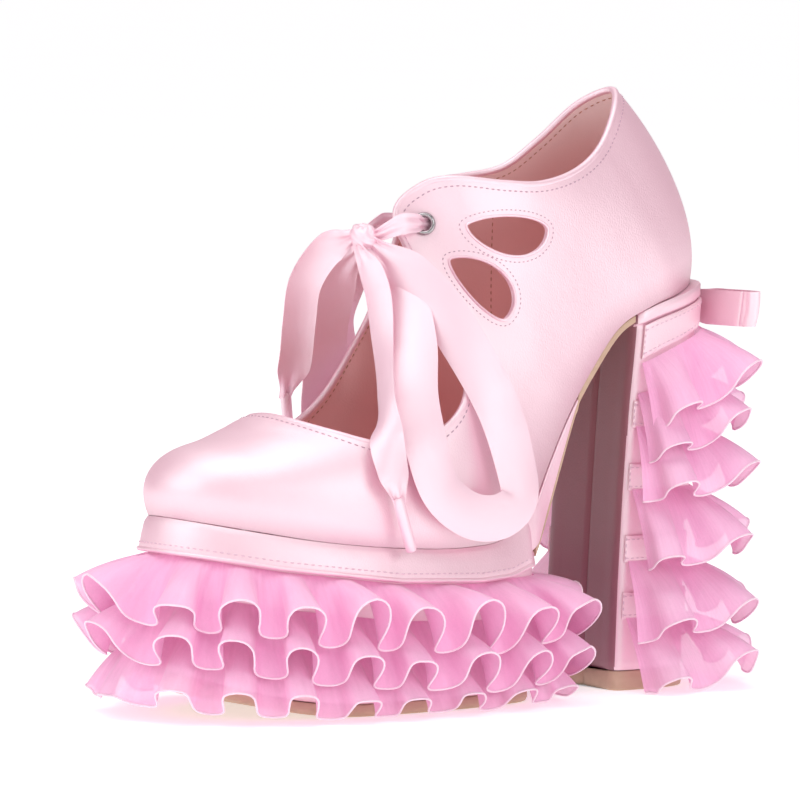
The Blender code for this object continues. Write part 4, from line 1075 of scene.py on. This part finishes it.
# ---- The heel's ruffles ------------------------------------------------------------------
# Six shorter strips of the same organza, sewn to the strap, the heel and the tapes one above
# another, open at the breast and fullest at the sides and back.
# The height of a strip's seam at the heel's middle, its slope towards the back, how thick the
# band under it is, then its size and waves as on the platform, and where its first wave starts.
HeelTier = namedtuple(
    "HeelTier", "name z slope under length lean swing phase slip tilt boxy droop waves",
    defaults=(1.8, 0.0, 0.4, (0,), 6.0))
HEEL_TIERS = [
    HeelTier("heel_ruffle_1", 116.0, 0.40, STRAP_THICK, 23.5, 50.0, 19.0, 0.37),
    HeelTier("heel_ruffle_2", 103.0, 0.22, 0.0, 24.0, 49.5, 17.0, 0.42),
    HeelTier("heel_ruffle_3", 88.5, 0.0, TAPE_THICK, 26.0, 47.5, 15.0, 0.30),
    HeelTier("heel_ruffle_4", 67.5, 0.0, TAPE_THICK, 28.0, 45.5, 14.5, 0.45),
    HeelTier("heel_ruffle_5", 43.5, 0.0, TAPE_THICK, 28.5, 52.5, 14.5, 0.34),
    HeelTier("heel_ruffle_6", 24.5, 0.0, TAPE_THICK, 29.0, 57.0, 13.0, 0.42),
]
HEEL_MIDDLE_Y, HEEL_FLOOR_CLEAR = 90.0, 0.8
# At the breast the strips fall straighter than at the back, over this share of their length.
BREAST_HANG, BREAST_SHARE = 0.45, 0.30
for number, tier in enumerate(HEEL_TIERS):
    spots = np.linspace(0.03, 0.97, 220)
    clear = 0.7 + (tier.under + STRIP_CLEAR if tier.under else 0.1)
    seats = heel_wrap(spots, lambda y: tier.z + tier.slope * (y - HEEL_MIDDLE_Y), clear)
    outward = seats[:, 3:6]
    ahead = np.column_stack([-outward[:, 1], outward[:, 0], np.zeros(len(seats))])
    turn = 2 * np.pi * (tier.waves * spots + tier.phase)
    from_breast = np.clip(np.minimum(spots, 1.0 - spots) / BREAST_SHARE, 0.0, 1.0)
    hang = BREAST_HANG + (1.0 - BREAST_HANG) * from_breast ** 0.7
    rows, crest = ruffle_rows(seats[:, :3], outward, ahead, turn, tier, tier.length, 31 + number, hang)
    rows[:, :, 2] = np.maximum(rows[:, :, 2], HEEL_FLOOR_CLEAR)
    hang_ruffle(tier, rows[:, ::-1], crest[::-1], False)

# ---- The bow on the heel -----------------------------------------------------------------
# A flat tailored bow of doubled satin ribbon at the back of the strap, its two folded loops
# caught in the middle by a small wrapped band.
# One loop seen from above: how far to the side and behind the strap.
BOW_LOOP = [
    (4.8, 3.4), (8.0, 5.6), (16.0, 8.0), (28.0, 8.8), (35.6, 7.6), (38.6, 5.2), (37.6, 3.0), (36.0, 2.4),
    (34.8, 1.9), (33.6, 2.3), (32.4, 1.7), (28.0, 1.5), (16.0, 1.3), (8.0, 1.0), (4.8, 0.9)]
BOW_Z, BOW_HEIGHT, BOW_WAIST, BOW_CLOTH = 128.0, 11.8, 7.5, 0.6
BOW_KNOT_SIZE, BOW_BELOW_STRAP_TOP = (8.0, 5.6, 9.6), 4.0
strap_back = heel_wrap(
    [0.5], lambda y: feather_z(y) - STRAP_TOP - BOW_BELOW_STRAP_TOP, STRIP_CLEAR + STRAP_THICK)[0][1]
bow_line = open_curve(BOW_LOOP, 10)
for side, word in ((1, "outer"), (-1, "inner")):
    rows = []
    for share in np.linspace(0.5, -0.5, 15):
        spread = np.clip((bow_line[:, 0] - 5.0) / 12.0, 0.0, 1.0)
        tall = BOW_WAIST + (BOW_HEIGHT - BOW_WAIST) * np.sin(spread * np.pi / 2)
        fold = (1.0 - spread) ** 1.5 * 0.7 * math.cos(2 * np.pi * 2.5 * share)
        hollow = 0.6 * (2 * share) ** 2 * spread
        behind = bow_line[:, 1] + np.where(bow_line[:, 1] > 2.4, fold - hollow, 0.0)
        wide = bow_line[:, 0] + 2.4 * share * spread ** 2
        height = BOW_Z + share * tall - 0.9 * spread
        rows.append(np.column_stack([side * wide, strap_back + behind, height]))
    rows = np.array(rows)
    loop = grid_piece(f"heel_bow_loop_{word}_satin", rows if side < 0 else rows[:, ::-1])
    worked(loop, "SOLIDIFY", thickness=BOW_CLOTH * MM, offset=0.0)
    fix(loop, satin, "satin", f"heel_bow_loop_{word}", angle=60.0)

rows = []
for tall in np.linspace(-0.5, 0.5, 17):
    ring = []
    for turn in np.linspace(0.0, -2 * np.pi, 48, endpoint=False):
        x, y = math.cos(turn), math.sin(turn)
        square = (abs(x) ** 4 + abs(y) ** 4) ** -0.25
        pinch = 1.0 - 0.10 * math.cos(2 * np.pi * tall) * abs(y)
        pleat = 1.0 + 0.035 * math.cos(6 * np.pi * tall + 0.6) * (y > 0)
        ring.append((x * square * BOW_KNOT_SIZE[0] / 2 * pinch,
                     strap_back + 0.3 + BOW_KNOT_SIZE[1] * (0.5 + 0.5 * y * square * pleat),
                     BOW_Z + tall * BOW_KNOT_SIZE[2]))
    rows.append(ring)
bow_knot = loft("heel_bow_band", [np.array(ring) for ring in rows])
worked(bow_knot, "BEVEL", width=0.8 * MM, segments=3, limit_method="ANGLE", angle_limit=math.radians(60))
fix(bow_knot, satin, "satin", "heel_bow_knot", angle=60.0)

# ---- The eyelets -------------------------------------------------------------------------
# Two small nickel eyelets, pressed from one side of the tab and rolled over on the other: a
# rounded flange outside and a plain barrel through the wall.
# The turned section: distance from the middle of the hole, and height above the wall.
EYELET_PROFILE = [
    (3.85, 0.30), (3.80, 0.85), (3.45, 1.35), (3.05, 1.50), (2.65, 1.35), (2.35, 0.90),
    (2.22, 0.20), (2.22, -2.10), (2.50, -2.30), (2.90, -2.20), (2.90, -2.00), (2.35, -1.90), (2.30, 0.20)]
EYELET_LIFT = 0.15
nickel = Finish("polished nickel")
nickel_wear = nickel.noise(nickel.places, 700.0, 3.0)
nickel.shade({
    "Base Color": nickel.mix(nickel_wear, (0.32, 0.30, 0.31, 1.0), (0.50, 0.48, 0.49, 1.0)),
    "Metallic": 1.0,
    "Roughness": 0.10 + 0.12 * nickel_wear,
    "Normal": nickel.bump(nickel_wear, 0.00005, 0.3),
})
for side, word in ((1, "outer"), (-1, "inner")):
    centre, outward = eyelet_place(side)
    flank = unit(np.cross(outward, (0.0, 0.0, 1.0)))
    other = np.cross(outward, flank)
    turns = np.linspace(0.0, -2 * np.pi, 48, endpoint=False)[:, None]
    circle = np.cos(turns) * flank + np.sin(turns) * other
    rows = [centre + outward * (height + EYELET_LIFT) + radius * circle
            for radius, height in EYELET_PROFILE + EYELET_PROFILE[:1]]
    eyelet = grid_piece(f"eyelet_{word}_nickel", rows, around=True)
    fix(eyelet, nickel, "nickel", f"eyelet_{word}", angle=60.0)

# ---- The ribbon: knot and bars -----------------------------------------------------------
# One soft satin ribbon. It crosses behind the tabs, comes out through both eyelets and is
# tied over the throat in a tight round knot.
KNOT_PLACE, KNOT_SIZE = np.array([0.0, -22.5, 153.5]), np.array([5.0, 4.2, 4.6])
KNOT_CLEAR = 0.7
RIBBON_STEPS, RIBBON_THICK = 12, 0.4
# The bars' width and pleats, at shares of the way from behind the tabs to the knot.
BAR_SHARES = (0.0, 0.14, 0.29, 0.43, 0.57, 0.71, 0.86, 1.0)
BAR_WIDTHS = (8.0, 7.5, 5.6, 4.0, 6.0, 7.0, 4.2, 3.4)
BAR_PLEATS = (0.1, 0.2, 0.3, 0.7, 0.4, 0.25, 0.6, 0.7)
BAR_CUP, BAR_IN_KNOT = 0.5, 0.6
Stop = namedtuple("Stop", "x y z face")
# The ways in which the ribbon leaves the knot, and the way its face looks in plan there, in
# degrees from -Y towards +X.
KNOT_WAYS = {
    "outer_tail": Stop(0.22, -0.42, -0.88, 0),
    "outer_loop": Stop(0.54, 0.02, -0.84, 35),
    "outer_loop_end": Stop(0.80, 0.22, -0.56, 42),
    "outer_bar": Stop(0.76, 0.64, 0.12, 0),
    "inner_tail": Stop(-0.78, -0.60, -0.14, -105),
    "inner_loop": Stop(-0.50, -0.05, -0.86, -110),
    "inner_loop_end": Stop(-0.80, 0.26, -0.54, -105),
    "inner_bar": Stop(-0.76, 0.64, 0.12, 0),
}


def knot_stop(name):
    """The place just clear of the knot where the ribbon leaves it."""
    way = unit(np.array(KNOT_WAYS[name][:3]))
    reach = 1.0 / np.linalg.norm(way / KNOT_SIZE)
    return Stop(*(KNOT_PLACE + way * (reach + KNOT_CLEAR)), KNOT_WAYS[name].face)


ribbon_satin = Finish("ribbon satin")
ribbon_cloud = ribbon_satin.noise(ribbon_satin.places, 45.0, 2.0)
ribbon_rib = ribbon_satin.noise(ribbon_satin.stretched(ribbon_satin.weave, (1.0, 9.0, 1.0)), 30.0, 2.0)
ribbon_satin.shade({
    "Base Color": ribbon_satin.mix(
        (0.6 * ribbon_cloud + 0.4 * ribbon_rib).clipped(),
        (0.94, 0.52, 0.65, 1.0), (0.99, 0.63, 0.75, 1.0)),
    "Roughness": 0.34 + 0.16 * ribbon_rib,
    "IOR": 2.5,
    "Specular IOR Level": 1.0,
    "Sheen Weight": 0.1,
    "Sheen Roughness": 0.3,
    "Normal": ribbon_satin.bump(ribbon_rib + ribbon_cloud, 0.0003, 0.25),
})

bpy.ops.object.select_all(action="DESELECT")
bpy.ops.mesh.primitive_uv_sphere_add(segments=64, ring_count=40, radius=1.0)
knot = bpy.context.object
knot.name = knot.data.name = "ribbon_knot_satin"
wrap_way = unit(np.array([0.55, 0.25, 0.80]))
for spot in knot.data.vertices:
    way = np.array(spot.co)
    level = float(np.dot(way, wrap_way))
    band = 1.0 / (1.0 + math.exp((abs(level) - 0.42) * 26.0))
    pleat = 0.045 * math.sin(13.0 * level + 2.0 * way[0])
    pucker = 0.05 * (1.0 - band) * math.sin(7.0 * math.atan2(way[1], way[0] - 0.5 * way[2]))
    spot.co = Vector((KNOT_PLACE + way * KNOT_SIZE * (0.90 + 0.16 * band + pleat + pucker)) * MM)
fix(knot, ribbon_satin, "satin", "ribbon_knot", angle=180.0)


def ribbon_rows(line, across, wide, cup, pleats):
    """A ribbon along a line: cup bends it across its width, pleats fold it where it is drawn in."""
    ahead = unit(np.gradient(line, axis=0))
    across = unit(across - ahead * (across * ahead).sum(axis=1, keepdims=True))
    face = np.cross(across, ahead)
    rows = []
    for c in np.linspace(-0.5, 0.5, 17):
        bend = cup * (1.0 / 3.0 - (2 * c) ** 2) + pleats * np.cos(2 * np.pi * 2.0 * c)
        rows.append(line + across * (wide * c)[:, None] + face * bend[:, None])
    return np.array(rows)


for side, word in ((1, "outer"), (-1, "inner")):
    centre, outward = eyelet_place(side)
    other_centre, other_outward = eyelet_place(-side)
    behind = (centre - outward * 5.0) * 0.5 + (other_centre - other_outward * 5.0) * 0.5
    heelward = unit(np.cross((0.0, 0.0, 1.0), outward)) * side
    knot_end = np.array(knot_stop(f"{word}_bar")[:3])
    line = open_curve([
        behind + np.array([0.0, 1.0, 0.0]), centre - outward * 6.0 + heelward * 3.5,
        centre - outward * 2.6 + heelward * 2.4, centre + outward * 0.6 - heelward * 0.5,
        centre + outward * 3.0 - heelward * 2.0,
        centre + outward * 4.2 + np.array([-side * 1.5, -7.5, -0.3]),
        knot_end, KNOT_PLACE + (knot_end - KNOT_PLACE) * BAR_IN_KNOT], RIBBON_STEPS)
    part = np.linspace(0.0, 1.0, len(line))
    wide, pleats = np.interp(part, BAR_SHARES, BAR_WIDTHS), np.interp(part, BAR_SHARES, BAR_PLEATS)
    across = np.tile((0.0, 0.0, float(side)), (len(line), 1))
    rows = ribbon_rows(line, across, wide, np.full(len(line), BAR_CUP), pleats)
    bar = grid_piece(f"ribbon_bar_{word}_satin", rows)
    worked(bar, "SOLIDIFY", thickness=RIBBON_THICK * MM, offset=0.0)
    fix(bar, ribbon_satin, "satin", f"ribbon_bar_{word}", angle=70.0)

# ---- The ribbon: tails and loops ---------------------------------------------------------
# Two loops and two tails of the same ribbon hang from the knot over both sides of the vamp.
# The tails are gathered at their ends into rolled tips, stiffened with clear lacquer.
LOOP_WIDTH, TAIL_WIDTH, RIBBON_NECK = 15.0, 11.0, 4.6
LOOP_CUP, TAIL_CUP = 1.1, 1.3
RIBBON_IN_KNOT = 0.55
AGLET_RADIUS, AGLET_SIDES, AGLET_OVERLAP = 1.9, 36, 2.0
# The aglet's swell along its length.
AGLET_SWELL = [
    (0.0, 0.8), (0.03, 0.92), (0.12, 1.0), (0.5, 0.98), (0.9, 0.95), (0.985, 0.92), (1.0, 0.82)]
TAILS = {
    "outer": [
        Stop(9.6, -24.4, 136.0, 15), Stop(17.3, -27.6, 120.0, 8),
        Stop(28.8, -34.6, 106.0, 2), Stop(35.2, -38.4, 98.0, 8), Stop(41.0, -41.7, 89.0, 55),
        Stop(44.9, -41.3, 78.5, 86), Stop(45.0, -39.8, 69.5, 90)],
    "inner": [
        Stop(-9.0, -31.5, 148.6, -112), Stop(-17.0, -34.2, 138.0, -120),
        Stop(-24.0, -31.9, 125.0, -122), Stop(-30.5, -29.0, 113.0, -118), Stop(-39.5, -25.4, 103.0, -108),
        Stop(-44.0, -24.0, 98.0, -96)],
}
LOOPS = {
    "outer": [
        Stop(12.5, -16.9, 137.0, 45), Stop(24.5, -19.8, 120.0, 52),
        Stop(34.5, -26.0, 103.0, 62), Stop(42.2, -27.0, 88.0, 78), Stop(45.2, -23.0, 73.0, 88),
        Stop(46.0, -12.0, 64.5, 90), Stop(46.0, 0.0, 63.5, 90), Stop(45.2, 8.0, 69.0, 90),
        Stop(43.4, 7.5, 81.0, 86), Stop(41.5, 2.0, 99.0, 76), Stop(33.0, -5.5, 119.0, 64),
        Stop(21.0, -11.5, 135.5, 52)],
    "inner": [
        Stop(-17.1, -21.7, 139.0, -115), Stop(-28.5, -18.1, 124.0, -112),
        Stop(-38.5, -12.5, 107.0, -104), Stop(-43.8, -10.4, 92.0, -95), Stop(-46.0, -7.0, 78.0, -90),
        Stop(-46.5, 1.0, 70.0, -90), Stop(-46.5, 9.5, 72.5, -90), Stop(-45.0, 12.0, 82.0, -90),
        Stop(-43.5, 5.0, 95.0, -94), Stop(-42.5, -3.0, 109.0, -102), Stop(-35.0, -11.5, 124.0, -110),
        Stop(-21.5, -16.0, 138.0, -114)],
}
# The share of its length over which the far end of a ribbon is drawn in.
TAIL_GATHERS, LOOP_GATHER, KNOT_GATHER = {"outer": 0.10, "inner": 0.22}, 0.08, 0.12
AGLET_ENDS = {"outer": (44.8, -34.8, 54.0), "inner": (-45.8, -21.4, 83.0)}


def hang_ribbon(name, node, stops, width, cup, gather, far_end):
    """Make a free length of ribbon along its stops.

    It comes out from inside the knot, and a loop goes back into it.
    """
    inside = lambda stop: Stop(
        *(KNOT_PLACE + (np.array(stop[:3]) - KNOT_PLACE) * RIBBON_IN_KNOT), stop.face)
    again = [inside(stops[-1])] if far_end == "knot" else []
    line = open_curve([tuple(stop) for stop in [inside(stops[0])] + stops + again], RIBBON_STEPS)
    turn = np.radians(line[:, 3])
    looks = np.column_stack([np.sin(turn), -np.cos(turn), np.zeros(len(line))])
    across = np.cross(np.gradient(line[:, :3], axis=0), looks)
    part = np.concatenate([[0.0], np.cumsum(np.linalg.norm(np.diff(line[:, :3], axis=0), axis=1))])
    part = part / part[-1]
    ease = np.clip(np.minimum(part / KNOT_GATHER, (1.0 - part) / gather), 0.0, 1.0)
    ease = ease * ease * (3 - 2 * ease)
    rows = ribbon_rows(
        line[:, :3], across, RIBBON_NECK + (width - RIBBON_NECK) * ease, cup * ease, 0.75 * (1.0 - ease))
    piece = grid_piece(name, rows)
    worked(piece, "SOLIDIFY", thickness=RIBBON_THICK * MM, offset=0.0)
    fix(piece, ribbon_satin, "satin", node, angle=70.0)


for word in ("outer", "inner"):
    tail = [knot_stop(f"{word}_tail")] + TAILS[word]
    start, end = np.array(tail[-1][:3]), np.array(AGLET_ENDS[word])
    way = unit(end - start)
    start = start - way * AGLET_OVERLAP
    flank = unit(np.cross(way, (1.0, 0.0, 0.0)))
    other = np.cross(flank, way)
    turns = np.linspace(0.0, 2 * np.pi, AGLET_SIDES, endpoint=False)
    rows = [np.repeat([start], AGLET_SIDES, axis=0)]
    for part, swell in AGLET_SWELL:
        rolled = AGLET_RADIUS * swell * (1.0 + 0.13 * (1.0 - turns / (2 * np.pi)) - 0.05)
        ring = flank * (np.cos(turns) * rolled)[:, None] + other * (np.sin(turns) * rolled)[:, None]
        rows.append(start + (end - start) * part + ring)
    rows.append(np.repeat([end], AGLET_SIDES, axis=0))
    aglet = grid_piece(f"aglet_{word}_satin", rows, around=True)
    fix(aglet, ribbon_satin, "satin", f"aglet_{word}", angle=40.0)
    hang_ribbon(
        f"ribbon_tail_{word}_satin", f"ribbon_tail_{word}", tail, TAIL_WIDTH, TAIL_CUP,
        TAIL_GATHERS[word], "fitting")
    loop = [knot_stop(f"{word}_loop")] + LOOPS[word] + [knot_stop(f"{word}_loop_end")]
    hang_ribbon(
        f"ribbon_loop_{word}_satin", f"ribbon_loop_{word}", loop, LOOP_WIDTH, LOOP_CUP,
        LOOP_GATHER, "knot")
